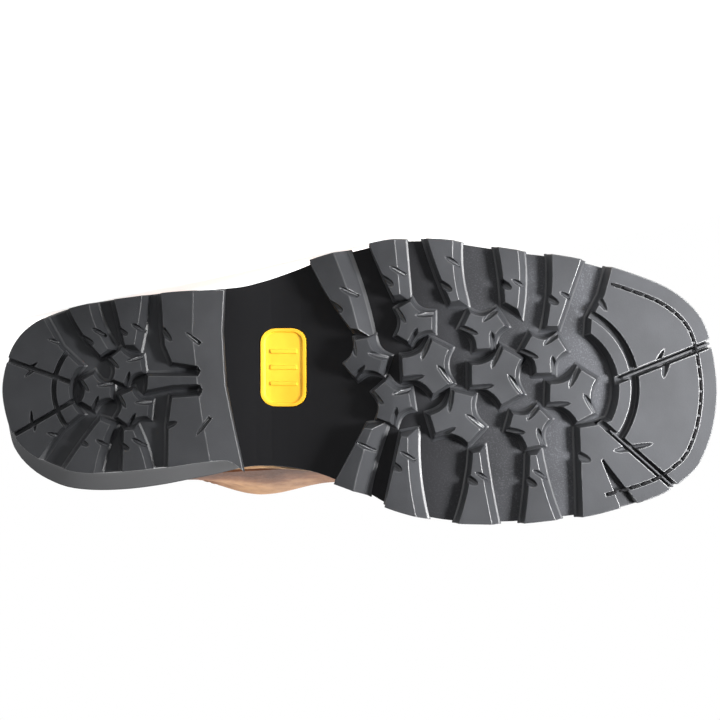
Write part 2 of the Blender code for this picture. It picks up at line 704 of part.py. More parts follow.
def finish(thing):
    """Triangulates a piece, brings it to metres, shades it and gives it its material."""
    mesh = bmesh.new()
    mesh.from_mesh(thing.data)
    bmesh.ops.remove_doubles(mesh, verts=mesh.verts, dist=SAME_POINT)
    bmesh.ops.dissolve_degenerate(mesh, edges=mesh.edges, dist=SLIVER)
    bmesh.ops.triangulate(mesh, faces=mesh.faces)
    bmesh.ops.recalc_face_normals(mesh, faces=mesh.faces)
    bmesh.ops.scale(mesh, vec=(MM, MM, MM), verts=mesh.verts)
    mesh.to_mesh(thing.data)
    mesh.free()
    thing.data.shade_smooth()
    thing.data.set_sharp_from_angle(angle=SHARP_EDGE)
    material = bpy.data.materials.new(thing.name)
    material.use_nodes = True
    shader = material.node_tree.nodes["Principled BSDF"]
    shader.inputs["Base Color"].default_value = (*FINISHES[thing.name].colour, 1.0)
    shader.inputs["Roughness"].default_value = FINISHES[thing.name].roughness
    thing.data.materials.clear()
    thing.data.materials.append(material)


def weight_and_moment(thing):
    """A piece's weight, and its weight times the place of its middle."""
    thing.data.calc_loop_triangles()
    points = np.array([vert.co for vert in thing.data.vertices])
    corners = points[[triangle.vertices for triangle in thing.data.loop_triangles]]
    volumes = np.linalg.det(corners) / 6 * DENSITIES.get(thing.name, LEATHER_DENSITY)
    return volumes.sum(), (corners.sum(1) / 4 * volumes[:, None]).sum(0)


def resting_plane(things):
    """Outward normal of the hull's face on the outer side that lies under the balance point."""
    weights, moments = zip(*(weight_and_moment(thing) for thing in things))
    balance = Vector(sum(moments) / sum(weights))
    hull = bmesh.new()
    for thing in things:
        for vert in thing.data.vertices:
            hull.verts.new(vert.co)
    bmesh.ops.convex_hull(hull, input=hull.verts)
    bmesh.ops.triangulate(hull, faces=hull.faces)
    hull.normal_update()
    widest, widest_area = None, 0.0
    for face in hull.faces:
        normal = face.normal
        if normal.y > -SIDEWAYS:
            continue
        a, b, c = (loop.vert.co for loop in face.loops)
        sides = [normal.dot((q - p).cross(balance - p)) for p, q in ((a, b), (b, c), (c, a))]
        if min(sides) > 0 and face.calc_area() > widest_area:
            widest, widest_area = normal.copy(), face.calc_area()
    hull.free()
    return widest


def lay_down(things):
    """Parents the pieces to an empty that lays the boot on its outer side, sole towards -y and toe towards -x."""
    down = resting_plane(things)
    up = -down
    away = Vector((0, 0, 1)) - up * up.z
    away.normalize()
    right = away.cross(up)
    turn = Matrix((right, away, up))
    points = np.array([turn @ vert.co for thing in things for vert in thing.data.vertices])
    low, high = points.min(0), points.max(0)
    shift = Vector((-(low[0] + high[0]) / 2, -(low[1] + high[1]) / 2, -low[2]))
    stand = bpy.data.objects.new("boot", None)
    bpy.context.scene.collection.objects.link(stand)
    stand.matrix_world = Matrix.Translation(shift) @ turn.to_4x4()
    for thing in things:
        thing.parent = stand


def main():
    """Makes the pieces and lays the boot down."""
    for thing in list(bpy.data.objects):
        bpy.data.objects.remove(thing)
    sole_loop = spread(edge_loop(SOLE_EDGE))
    foot = feather_loop(sole_loop)
    pieces = [
        make_outsole(sole_loop),
        make_heel(),
        make_welt(sole_loop, foot),
        make_insole(foot),
        make_upper(foot),
        make_plug(),
    ]
    for piece in pieces:
        finish(piece)
    lay_down(pieces)


main()
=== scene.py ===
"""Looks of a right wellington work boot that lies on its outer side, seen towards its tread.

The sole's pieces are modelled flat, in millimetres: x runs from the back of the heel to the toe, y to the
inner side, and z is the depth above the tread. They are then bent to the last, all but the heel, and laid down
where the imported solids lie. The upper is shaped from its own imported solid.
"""

import json
import logging
import math
from contextlib import contextmanager
from dataclasses import dataclass
from enum import Enum
from functools import cached_property
from typing import Iterator, NamedTuple, Sequence

import bmesh
import bpy
import numpy as np
from mathutils import Matrix, Vector
from mathutils.bvhtree import BVHTree


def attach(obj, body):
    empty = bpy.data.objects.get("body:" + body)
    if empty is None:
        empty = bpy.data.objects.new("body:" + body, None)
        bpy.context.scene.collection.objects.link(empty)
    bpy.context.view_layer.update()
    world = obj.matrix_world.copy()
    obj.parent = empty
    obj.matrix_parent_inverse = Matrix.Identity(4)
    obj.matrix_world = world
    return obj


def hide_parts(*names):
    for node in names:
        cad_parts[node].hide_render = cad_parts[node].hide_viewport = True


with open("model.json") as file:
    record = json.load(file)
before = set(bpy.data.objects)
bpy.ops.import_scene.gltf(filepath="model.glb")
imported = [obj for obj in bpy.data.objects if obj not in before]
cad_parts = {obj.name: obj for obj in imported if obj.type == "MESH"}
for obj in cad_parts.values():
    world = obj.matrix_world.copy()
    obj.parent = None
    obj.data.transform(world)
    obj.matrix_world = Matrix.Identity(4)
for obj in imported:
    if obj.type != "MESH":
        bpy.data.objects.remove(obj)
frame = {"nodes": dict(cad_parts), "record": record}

Piece = bpy.types.Object
Material = bpy.types.Material
Tree = bpy.types.NodeTree
Socket = bpy.types.NodeSocket
Points = np.ndarray
Place = tuple[float, float, float]

MM = 0.001
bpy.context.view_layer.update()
MOUNTS = {mount["name"]: mount for mount in frame["record"]["mounts"]}
LOG = logging.getLogger("boot")
SHADER = "Principled BSDF"
# Numbers that points carry for their materials: the place along the sole, and how far the leather is pulled,
# with painted light and painted shade added in
ALONG = "along"
PULL_AND_PAINTED_SHADING = "pull"


# Modelling tools

class Cut(Enum):
    """What a tool does to the piece that it meets."""

    AWAY = "DIFFERENCE"
    KEEP = "INTERSECT"


def select_only(*pieces: Piece) -> None:
    """Makes pieces the only selected ones, and the first of them the active one.

    Args:
        pieces: The pieces to select.
    """
    bpy.ops.object.select_all(action="DESELECT")
    for piece in pieces:
        piece.select_set(True)
    bpy.context.view_layer.objects.active = pieces[0]


@contextmanager
def editing(piece: Piece) -> Iterator[None]:
    """Opens a piece in edit mode with all of it selected, and closes it again.

    Args:
        piece: The mesh to edit.

    Returns:
        A context in which mesh operators act on the piece.
    """
    select_only(piece)
    bpy.ops.object.mode_set(mode="EDIT")
    bpy.ops.mesh.select_all(action="SELECT")
    yield
    bpy.ops.object.mode_set(mode="OBJECT")


def coordinates(piece: Piece, what: str = "co") -> Points:
    """Reads a mesh's points or their normals.

    Args:
        piece: The mesh to read.
        what: The name of what is read of each vertex.

    Returns:
        One row of three numbers for each vertex.
    """
    flat = np.zeros(len(piece.data.vertices) * 3)
    piece.data.vertices.foreach_get(what, flat)
    return flat.reshape(-1, 3)


def move_points(piece: Piece, points: Points) -> None:
    """Puts a mesh's vertices at the given points."""
    piece.data.vertices.foreach_set("co", np.asarray(points, float).ravel())
    piece.data.update()


def mark(piece: Piece, name: str, values: Points) -> None:
    """Gives each point of a piece a number that its material reads."""
    attribute = piece.data.attributes.new(name, "FLOAT", "POINT")
    attribute.data.foreach_set("value", values.astype(np.float32))


def rounded(point: Sequence[float], digits: int = 3) -> tuple[float, ...]:
    """Rounds a point, so that it can be looked up."""
    return tuple(np.round(np.array(point, np.float32), digits))


def stacked(name: str, rings: Sequence[Points]) -> Piece:
    """Models a closed solid by drawing an outline up through a stack of rings.

    Args:
        name: The name of the new piece.
        rings: Rings of equally many points, from the lowest to the highest.

    Returns:
        The new piece.
    """
    bpy.ops.object.select_all(action="DESELECT")
    bpy.ops.mesh.primitive_circle_add(vertices=len(rings[0]), radius=1.0, fill_type="NGON")
    piece = bpy.context.active_object
    piece.name = name
    move_points(piece, rings[0])
    with editing(piece):
        for low, high in zip(rings, rings[1:]):
            bpy.ops.mesh.extrude_region_move()
            order = {rounded(point): i for i, point in enumerate(low)}
            for vert in bmesh.from_edit_mesh(piece.data).verts:
                if vert.select:
                    vert.co = high[order[rounded(vert.co)]]
            bmesh.update_edit_mesh(piece.data)
        bpy.ops.mesh.select_all(action="SELECT")
        bpy.ops.mesh.normals_make_consistent(inside=False)
    return piece


def prism(name: str, loop: Points, low: float, high: float) -> Piece:
    """Models a block with upright sides between two heights."""
    return stacked(name, [at_level(loop, low), at_level(loop, high)])


def joined(name: str, pieces: Sequence[Piece]) -> Piece:
    """Joins several meshes into one piece.

    Args:
        name: The name of the joined piece.
        pieces: The meshes, of which the first takes in the others.

    Returns:
        The joined piece.
    """
    select_only(*pieces)
    bpy.ops.object.join()
    pieces[0].name = name
    return pieces[0]


def modify(piece: Piece, kind: str, **settings: object) -> None:
    """Adds a modifier to a piece and applies it.

    Args:
        piece: The mesh to change.
        kind: The modifier's type.
        settings: The modifier's settings.
    """
    modifier = piece.modifiers.new(kind, kind)
    for key, value in settings.items():
        setattr(modifier, key, value)
    select_only(piece)
    bpy.ops.object.modifier_apply(modifier=modifier.name)


def combine(piece: Piece, tool: Piece, how: Cut) -> None:
    """Cuts a piece with a tool, and removes the tool."""
    modify(piece, "BOOLEAN", operation=how.value, object=tool, use_self=True)
    bpy.data.objects.remove(tool)


def soften(piece: Piece, width: float, segments: int = 2, above: float = 28.0, material: int = -1) -> None:
    """Rounds the sharp edges of a piece.

    Args:
        piece: The mesh to round.
        width: The width of the rounding, in the piece's units.
        segments: How many faces make the rounding.
        above: The angle in degrees above which an edge is sharp.
        material: The number of the rounding's material, or -1 for that of the faces beside it.
    """
    shape = {"width": width, "segments": segments, "material": material, "use_clamp_overlap": False}
    modify(piece, "BEVEL", limit_method="ANGLE", angle_limit=math.radians(above), **shape)


def shade(piece: Piece, angle: float = 32.0) -> None:
    """Shades a piece smooth, with its large faces kept flat.

    Args:
        piece: The mesh to shade.
        angle: The angle in degrees above which an edge stays sharp.
    """
    select_only(piece)
    bpy.ops.object.shade_smooth_by_angle(angle=math.radians(angle))
    modify(piece, "WEIGHTED_NORMAL", keep_sharp=True)


# The boot's own frame

@dataclass(frozen=True)
class Laying:
    """How the standing boot, in millimetres, is laid down in the frame, in metres."""

    heel_spot: Place = (75.0, -25.0, 0.0)
    forefoot_spot: Place = (211.6, -3.8, 0.0)

    @cached_property
    def turn(self) -> Points:
        """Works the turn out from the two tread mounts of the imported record.

        Returns:
            The turn from the standing boot to the frame, as a matrix.
        """
        heel, forefoot = (np.array(MOUNTS[name]["pos_m"]) for name in ("heel_tread", "forefoot_tread"))
        along = np.subtract(self.forefoot_spot, self.heel_spot)
        lying = self.basis(forefoot - heel, -np.array(MOUNTS["heel_tread"]["axis"]))
        return lying.T @ self.basis(along, np.array((0.0, 0.0, 1.0)))

    @cached_property
    def shift(self) -> Points:
        """Works out the shift that brings the heel's spot to its mount."""
        return np.array(MOUNTS["heel_tread"]["pos_m"]) - self.turn @ np.array(self.heel_spot) * MM

    @staticmethod
    def basis(along: Points, up: Points) -> Points:
        """Makes three unit axes.

        Args:
            along: The direction of the first axis, before it is squared to up.
            up: The direction of the third axis.

        Returns:
            The axes, as the rows of a matrix.
        """
        up = up / np.linalg.norm(up)
        along = along - up * (along @ up)
        along = along / np.linalg.norm(along)
        return np.array([along, np.cross(up, along), up])

    def place(self, points: Points) -> Points:
        """Lays standing points, in millimetres, down in the frame."""
        return np.asarray(points, float) * MM @ self.turn.T + self.shift

    def stand(self, points: Points) -> Points:
        """Stands points of the frame up again, in millimetres."""
        return (np.asarray(points, float) - self.shift) @ self.turn / MM

    def direction(self, along: Sequence[float]) -> Vector:
        """Turns a direction of the standing boot to the frame."""
        return Vector(self.turn @ np.asarray(along, float)).normalized()


class Edge(NamedTuple):
    """Distances from the middle line to the outer and inner edge at one place along the sole."""

    u: float
    lateral: float
    medial: float


class Bar(NamedTuple):
    """A lug that runs in from the edge.

    Its nicks are placed by shares of its length, and zero is for no nick.
    """

    side: int
    edge_back: float
    edge_front: float
    tip_back: float
    tip_back_out: float
    tip_front: float
    tip_front_out: float
    bow_back: float
    bow_front: float
    front_run: float
    nick_back: float
    nick_front: float


class Lug(NamedTuple):
    """A three-armed block."""

    u: float
    lateral: float
    reach: float
    end_width: float
    turn: float


class Groove(NamedTuple):
    """A straight groove through a block."""

    u: float
    lateral: float
    to_u: float
    to_lateral: float
    width: float
    to_width: float


class Arc(NamedTuple):
    """A round groove or edge about a middle point, between two angles in degrees."""

    u: float
    lateral: float
    inner: float
    outer: float
    start: float
    stop: float


class Corner(NamedTuple):
    """A corner of a block."""

    u: float
    lateral: float


class Nick(NamedTuple):
    """A leaf-shaped cut from its mouth on a block's edge to its tip."""

    u: float
    lateral: float
    to_u: float
    to_lateral: float
    width: float


class Front(NamedTuple):
    """Where the heel's bare front strip leaves the ground, and where it ends at the breast."""

    lateral: float
    crease: float
    breast: float


SOLE_EDGE = (
    Edge(-1.8, -3.5, 3.5),
    Edge(0.5, 13.2, 22.8),
    Edge(4.0, 20.6, 30.7),
    Edge(10.0, 26.2, 37.0),
    Edge(17.0, 29.8, 41.4),
    Edge(26.0, 33.0, 44.8),
    Edge(38.0, 35.6, 46.0),
    Edge(52.0, 37.8, 45.5),
    Edge(66.0, 39.6, 43.7),
    Edge(78.0, 40.7, 41.4),
    Edge(90.0, 41.5, 39.0),
    Edge(102.0, 42.7, 36.1),
    Edge(111.0, 45.2, 35.4),
    Edge(121.0, 49.0, 36.1),
    Edge(131.0, 53.0, 38.1),
    Edge(141.0, 56.0, 41.6),
    Edge(152.0, 58.6, 45.6),
    Edge(163.0, 61.0, 51.2),
    Edge(176.0, 61.8, 55.2),
    Edge(190.0, 61.2, 57.9),
    Edge(205.0, 59.0, 58.6),
    Edge(220.0, 56.8, 58.4),
    Edge(236.0, 54.8, 56.8),
    Edge(250.0, 52.3, 55.2),
    Edge(262.5, 49.0, 52.2),
    Edge(274.0, 45.2, 49.0),
    Edge(283.0, 41.6, 45.6),
    Edge(290.5, 37.0, 40.8),
    Edge(297.0, 31.0, 35.0),
    Edge(301.5, 23.4, 26.6),
    Edge(304.6, 11.0, 16.2),
    Edge(306.0, -2.5, 2.5),
)
HEEL_EDGE = (
    Edge(0.0, -2.0, 2.0),
    Edge(2.6, 12.0, 16.5),
    Edge(7.0, 20.4, 24.6),
    Edge(13.0, 26.0, 30.0),
    Edge(20.0, 29.6, 33.6),
    Edge(30.0, 33.2, 36.9),
    Edge(42.0, 35.8, 37.7),
    Edge(56.0, 37.8, 36.6),
    Edge(72.0, 39.8, 35.0),
    Edge(86.0, 40.6, 33.0),
    Edge(96.0, 40.8, 32.6),
    Edge(112.0, 41.0, 34.5),
)
# How far the upper's foot and the welt's edge lie inside the sole's edge
FEATHER_MARGIN = (
    Edge(0.0, 3.0, 3.0),
    Edge(80.0, 3.0, 3.0),
    Edge(108.0, 3.0, 1.6),
    Edge(135.0, 4.0, 3.0),
    Edge(170.0, 6.5, 6.5),
    Edge(306.0, 6.0, 6.0),
)
WELT_MARGIN = (
    Edge(0.0, 0.3, 0.3),
    Edge(96.0, 0.3, 0.2),
    Edge(104.0, 0.3, -1.3),
    Edge(118.0, 0.3, -1.3),
    Edge(128.0, 0.3, -0.7),
    Edge(142.0, 0.3, 0.3),
    Edge(306.0, 0.3, 0.3),
)
FOREFOOT_BARS = (
    Bar(-1, 129.7, 140.0, 148.5, 24.3, 151.9, 23.9, -1.7, 0.9, 4.4, 0.72, 0.55),
    Bar(-1, 155.3, 167.2, 166.8, 38.0, 169.8, 38.8, -0.4, 0.0, 4.4, 0.75, 0.62),
    Bar(-1, 180.5, 192.8, 191.5, 35.4, 195.0, 36.3, -0.6, -1.3, 3.8, 0.78, 0.42),
    Bar(-1, 211.0, 219.7, 214.6, 35.4, 220.1, 32.4, 0.6, 1.1, 2.8, 0.72, 0.62),
    Bar(-1, 234.2, 248.3, 232.5, 25.2, 237.2, 25.2, 1.3, 0.0, 2.2, 0.67, 0.60),
    Bar(1, 139.9, 149.3, 154.4, 18.3, 157.8, 18.8, 0.0, -0.9, 4.8, 0.0, 0.74),
    Bar(1, 162.5, 177.5, 170.2, 21.8, 173.2, 22.2, 0.0, -1.3, 4.8, 0.61, 0.78),
    Bar(1, 193.7, 209.9, 200.9, 29.0, 203.9, 28.6, 1.3, -0.4, 3.0, 0.65, 0.69),
    Bar(1, 222.3, 237.6, 225.3, 29.9, 228.2, 29.9, 0.6, -1.0, 3.0, 0.65, 0.73),
)
FOREFOOT_LUGS = (
    Lug(154.0, 11.5, 8.2, 6.8, -21.0),
    Lug(175.3, 26.9, 8.2, 6.8, 0.0),
    Lug(205.6, 23.9, 8.3, 7.2, 33.0),
    Lug(181.7, 7.7, 10.8, 9.0, 63.0),
    Lug(231.6, 13.7, 8.5, 7.6, 31.0),
    Lug(211.6, 3.8, 11.2, 9.6, 60.0),
    Lug(165.9, -7.3, 8.4, 7.4, 10.0),
    Lug(194.1, -14.1, 10.6, 9.0, 77.0),
    Lug(225.2, -17.9, 8.3, 7.0, 45.0),
    Lug(244.4, -4.3, 10.6, 8.6, 58.0),
)
TOE_LATERAL = (Corner(262.0, 56.0), Corner(257.2, 38.4), Corner(251.7, 28.6))
TOE_MEDIAL = (Corner(253.8, -17.1), Corner(246.6, -18.3), Corner(247.4, -40.5), Corner(247.9, -62.0))
TOE_FRONT = (Corner(310.0, -62.0), Corner(310.0, 56.0))
TOE_BASIN = Arc(234.6, -1.7, 0.0, 29.0, 55.0, -28.0)
TOE_ARC = Arc(234.6, -1.7, 34.4, 37.8, 64.0, -36.5)
TOE_GROOVES = (
    Groove(257.0, -0.2, 309.0, 19.8, 3.2, 3.6),
    Groove(253.0, -13.6, 294.0, -49.2, 2.8, 3.4),
    Groove(256.4, -32.0, 271.0, -57.0, 0.8, 9.0),
)
TOE_NICKS = (
    Nick(254.4, 37.6, 258.4, 31.4, 3.2),
    Nick(246.0, -30.4, 251.7, -32.6, 4.6),
    Nick(280.0, 9.4, 283.4, 15.4, 1.9),
    Nick(284.3, 9.6, 283.0, 3.0, 3.2),
    Nick(267.6, -27.2, 261.3, -28.2, 2.8),
    Nick(269.4, -26.9, 278.4, -25.2, 2.4),
)
HEEL_BARS = (
    Bar(-1, 27.3, 36.7, 41.8, 12.8, 45.2, 15.4, -1.8, -1.8, 3.6, 0.75, 0.68),
    Bar(-1, 46.9, 60.2, 52.5, 17.1, 56.3, 17.1, 0.0, 0.4, 3.2, 0.76, 0.70),
    Bar(1, 24.7, 38.8, 41.8, 15.0, 46.0, 17.0, -0.6, -1.3, 3.0, 0.60, 0.68),
    Bar(1, 51.2, 62.3, 52.0, 19.3, 55.9, 19.3, 0.0, 0.8, 2.8, 0.68, 0.76),
)
HEEL_LUGS = (
    Lug(39.6, -2.6, 6.6, 5.6, 0.0),
    Lug(52.5, 7.7, 6.8, 5.8, 8.0),
    Lug(55.5, -9.8, 6.8, 5.8, -6.0),
)
BACK_LATERAL = (Corner(-10.0, 36.0), Corner(14.5, 34.0), Corner(24.7, 15.8), Corner(32.8, 8.1))
BACK_MEDIAL = (Corner(32.8, -12.4), Corner(24.7, -18.8), Corner(11.9, -37.0), Corner(-10.0, -37.0))
BACK_BASIN = Arc(43.1, -2.1, 0.0, 14.5, 135.0, 225.0)
BACK_ARC = Arc(47.4, -2.1, 24.3, 26.4, 128.0, 232.0)
BACK_GROOVES = (
    Groove(-4.0, 13.0, 29.0, 1.3, 2.0, 2.0),
    Groove(-4.0, -26.6, 30.3, -6.8, 2.0, 2.0),
)
BACK_NICKS = (
    Nick(24.6, 18.0, 19.4, 19.6, 2.0),
    Nick(23.4, -21.6, 19.0, -20.4, 2.0),
    Nick(11.6, 7.0, 15.4, 9.8, 1.7),
    Nick(13.4, 6.6, 9.6, 3.4, 1.7),
    Nick(12.6, -16.4, 12.4, -10.6, 1.7),
    Nick(14.0, -16.6, 13.9, -20.0, 1.7),
)
FRONT_BLOCK = (
    Corner(67.4, 48.0),
    Corner(68.7, 25.6),
    Corner(69.5, 17.1),
    Corner(72.5, 9.8),
    Corner(83.6, 8.1),
    Corner(84.9, 6.0),
    Corner(83.6, 3.8),
    Corner(62.3, 3.8),
    Corner(61.9, -2.1),
    Corner(72.5, 0.0),
    Corner(84.5, 0.4),
    Corner(85.7, -2.1),
    Corner(84.5, -4.7),
    Corner(72.5, -5.5),
    Corner(71.0, -17.1),
    Corner(70.8, -44.0),
    Corner(118.0, -44.0),
    Corner(118.0, 48.0),
)
FRONT_NICKS = (
    Nick(68.6, 23.0, 72.6, 18.4, 3.4),
    Nick(70.8, -17.2, 74.8, -15.8, 3.2),
    Nick(84.0, 18.0, 78.1, 22.6, 2.2),
    Nick(88.4, -14.4, 82.6, -21.8, 2.2),
)
HEEL_FRONT = (
    Front(56.0, 81.5, 96.0),
    Front(23.0, 81.0, 94.3),
    Front(0.0, 83.2, 95.6),
    Front(-17.0, 85.8, 99.0),
    Front(-56.0, 93.0, 107.5),
)


# Outlines

def smooth_loop(points: Points, steps: int = 10) -> Points:
    """Draws a smooth closed curve through points.

    Args:
        points: The points, in order round the curve.
        steps: How many points the curve has from one given point to the next.

    Returns:
        The points of the curve.
    """
    points = np.asarray(points, float)
    before, after, beyond = (np.roll(points, turn, 0) for turn in (1, -1, -2))
    t = (np.arange(steps) / steps)[None, :, None]
    curve = (
        (-0.5 * t + t**2 - 0.5 * t**3) * before[:, None]
        + (1 - 2.5 * t**2 + 1.5 * t**3) * points[:, None]
        + (0.5 * t + 2 * t**2 - 1.5 * t**3) * after[:, None]
        + (-0.5 * t**2 + 0.5 * t**3) * beyond[:, None]
    )
    return curve.reshape(-1, points.shape[1])


def walked(run: Points, step: float, closed: bool = False) -> Points:
    """Spaces points evenly along a run of points.

    Args:
        run: The points to walk along.
        step: The wished distance between points.
        closed: Whether the run returns to its start.

    Returns:
        The evenly spaced points, without the start once more where the run is closed.
    """
    run = np.vstack([run, run[:1]]) if closed else np.asarray(run, float)
    length = np.concatenate([[0.0], np.cumsum(np.linalg.norm(np.diff(run, axis=0), axis=1))])
    count = max(2, round(length[-1] / step))
    wanted = np.linspace(0.0, length[-1], count + 1)[: count if closed else count + 1]
    return np.stack([np.interp(wanted, length, column) for column in run.T], 1)


def counter_clockwise(points: Sequence[Sequence[float]]) -> Points:
    """Turns a closed outline round if it runs clockwise.

    Args:
        points: The outline in the plan.

    Returns:
        The outline, counter-clockwise.
    """
    points = np.array(points, float)
    following = np.roll(points, -1, 0)
    area = (points[:, 0] * following[:, 1] - following[:, 0] * points[:, 1]).sum()
    return points if area > 0 else points[::-1]


def offset(loop: Points, distance: float | Points) -> Points:
    """Moves a counter-clockwise outline outwards.

    Args:
        loop: The outline in the plan.
        distance: One distance for all points, or one for each.

    Returns:
        The moved outline.
    """
    ahead = np.roll(loop, -1, 0) - loop
    ahead = ahead / np.linalg.norm(ahead, axis=1, keepdims=True)
    normal = np.stack([ahead[:, 1], -ahead[:, 0]], 1)
    both = normal + np.roll(normal, 1, 0)
    miter = 2 * both / np.maximum((both**2).sum(1, keepdims=True), 1.0)
    return loop + miter * np.reshape(distance, (-1, 1))


def at_level(loop: Points, z: float) -> Points:
    """Puts an outline of the plan at one height."""
    return np.column_stack([loop, np.full(len(loop), z)])


def plan(corners: Sequence[Corner]) -> list[tuple[float, float]]:
    """Gives table corners as points of the plan, where y runs to the inner side."""
    return [(corner.u, -corner.lateral) for corner in corners]


def arc_points(arc: Arc, radius: float, steps: int = 25) -> list[tuple[float, float]]:
    """Draws as many points as steps on an arc of the table, at a radius of its own."""
    angles = np.radians(np.linspace(arc.start, arc.stop, steps))
    return [(arc.u + radius * math.cos(a), -arc.lateral - radius * math.sin(a)) for a in angles]


@dataclass(frozen=True)
class Last:
    """The form that the sole is bent to, and the outlines that follow from it."""

    toe_tip: float = 306.0
    toe_spring: float = 14.0
    ball_front: float = 224.0
    ball_back: float = 176.0
    seat_front: float = 107.0
    seat_lift: float = 19.0
    outline_step: float = 3.0
    slice_step: float = 6.0

    def height(self, u: Points) -> Points:
        """Gives the height of the tread above the ground.

        Args:
            u: Places along the sole.

        Returns:
            The height at each place.
        """
        share = np.maximum(u - self.ball_front, 0.0) / (self.toe_tip - self.ball_front)
        rise = np.clip((self.ball_back - u) / (self.ball_back - self.seat_front), 0.0, 1.0)
        return self.toe_spring * share**2 + self.seat_lift * rise**2 * (3 - 2 * rise)

    def bend(self, flat: Points) -> Points:
        """Bends points of the flat sole to the last.

        Args:
            flat: Points as place along the sole, place across it and depth above the tread.

        Returns:
            The points of the standing boot.
        """
        u, y, depth = np.asarray(flat, float).T
        slope = self.height(u + 0.5) - self.height(u - 0.5)
        length = np.hypot(1.0, slope)
        return np.stack([u - slope / length * depth, y, self.height(u) + depth / length], 1)

    def slice(self, piece: Piece) -> None:
        """Cuts a flat piece across at even places, so that it can bend there.

        Args:
            piece: The flat piece.
        """
        with editing(piece):
            for place in np.arange(self.seat_front, self.toe_tip, self.slice_step):
                bpy.ops.mesh.select_all(action="SELECT")
                bpy.ops.mesh.bisect(plane_co=(place, 0.0, 0.0), plane_no=(1.0, 0.0, 0.0))

    def edge_loop(self, rows: Sequence[Edge]) -> Points:
        """Draws the closed outline of a table of edges.

        Args:
            rows: The table of edges.

        Returns:
            The outline, counter-clockwise from above.
        """
        outer = [(row.u, -row.lateral) for row in rows]
        inner = [(row.u, row.medial) for row in rows[-2:0:-1]]
        return walked(smooth_loop(outer + inner), self.outline_step, closed=True)

    @staticmethod
    def across(rows: Sequence[Edge], u: float, side: int) -> float:
        """Measures at u from the middle line to the outer edge, side -1, or to the inner one, side 1."""
        column = [row.lateral if side < 0 else row.medial for row in rows]
        return float(np.interp(u, [row.u for row in rows], column))

    def moved_in(self, loop: Points, rows: Sequence[Edge]) -> Points:
        """Moves the sole's outline in by a table of margins."""
        margins = [self.across(rows, u, -1 if y < 0 else 1) for u, y in loop]
        return offset(loop, -np.array(margins))


# Materials

def colour(code: str) -> tuple[float, float, float, float]:
    """Turns an sRGB hex colour to linear light.

    Args:
        code: Six hex digits after a hash sign.

    Returns:
        Red, green, blue and an alpha of one.
    """
    parts = [int(code[i : i + 2], 16) / 255 for i in (1, 3, 5)]
    linear = [c / 12.92 if c <= 0.04045 else ((c + 0.055) / 1.055) ** 2.4 for c in parts]
    return (*linear, 1.0)


def per_mm(size: float) -> float:
    """Gives the texture scale of a pattern whose features have a size in millimetres."""
    return 1.0 / (size * MM)


def connect(tree: Tree, node: bpy.types.Node, values: dict | None, links: dict | None) -> None:
    """Sets a node's inputs.

    Args:
        tree: The node's tree.
        node: The node.
        values: Values by input name or number.
        links: Output sockets by input name or number.
    """
    for key, value in (values or {}).items():
        node.inputs[key].default_value = value
    for key, socket in (links or {}).items():
        tree.links.new(socket, node.inputs[key])


def add(
    tree: Tree,
    kind: str,
    values: dict | None = None,
    links: dict | None = None,
    out: str = "",
    stops: Sequence[tuple[float, str]] = (),
    **settings: object,
) -> Socket:
    """Adds a node with its settings, its input values and its links.

    Args:
        tree: The node tree to add to.
        kind: The node's type, without the words that all types start with.
        values: Values by input name or number.
        links: Output sockets by input name or number.
        out: The name of the output that is used, where it isn't the first one.
        stops: A colour ramp's places and hex colours.
        settings: Settings of the node itself.

    Returns:
        The output socket that is used.
    """
    node = tree.nodes.new("ShaderNode" + kind)
    for key, value in settings.items():
        setattr(node, key, value)
    connect(tree, node, values, links)
    for number, (place, code) in enumerate(stops):
        elements = node.color_ramp.elements
        element = elements[number] if number < len(elements) else elements.new(place)
        element.position = place
        element.color = colour(code)
    return node.outputs[out] if out else next(socket for socket in node.outputs if socket.enabled)


class Finish:
    """Base of the finishes: a named material with its shader and its object coordinates."""

    name: str

    def start(self) -> tuple[Material, Tree, dict]:
        """Starts the material.

        Returns:
            The material, its node tree, and the link that puts a pattern on its object coordinates.
        """
        material = bpy.data.materials.new(self.name)
        material.use_nodes = True
        tree = material.node_tree
        return material, tree, {"Vector": add(tree, "TexCoord", out="Object")}


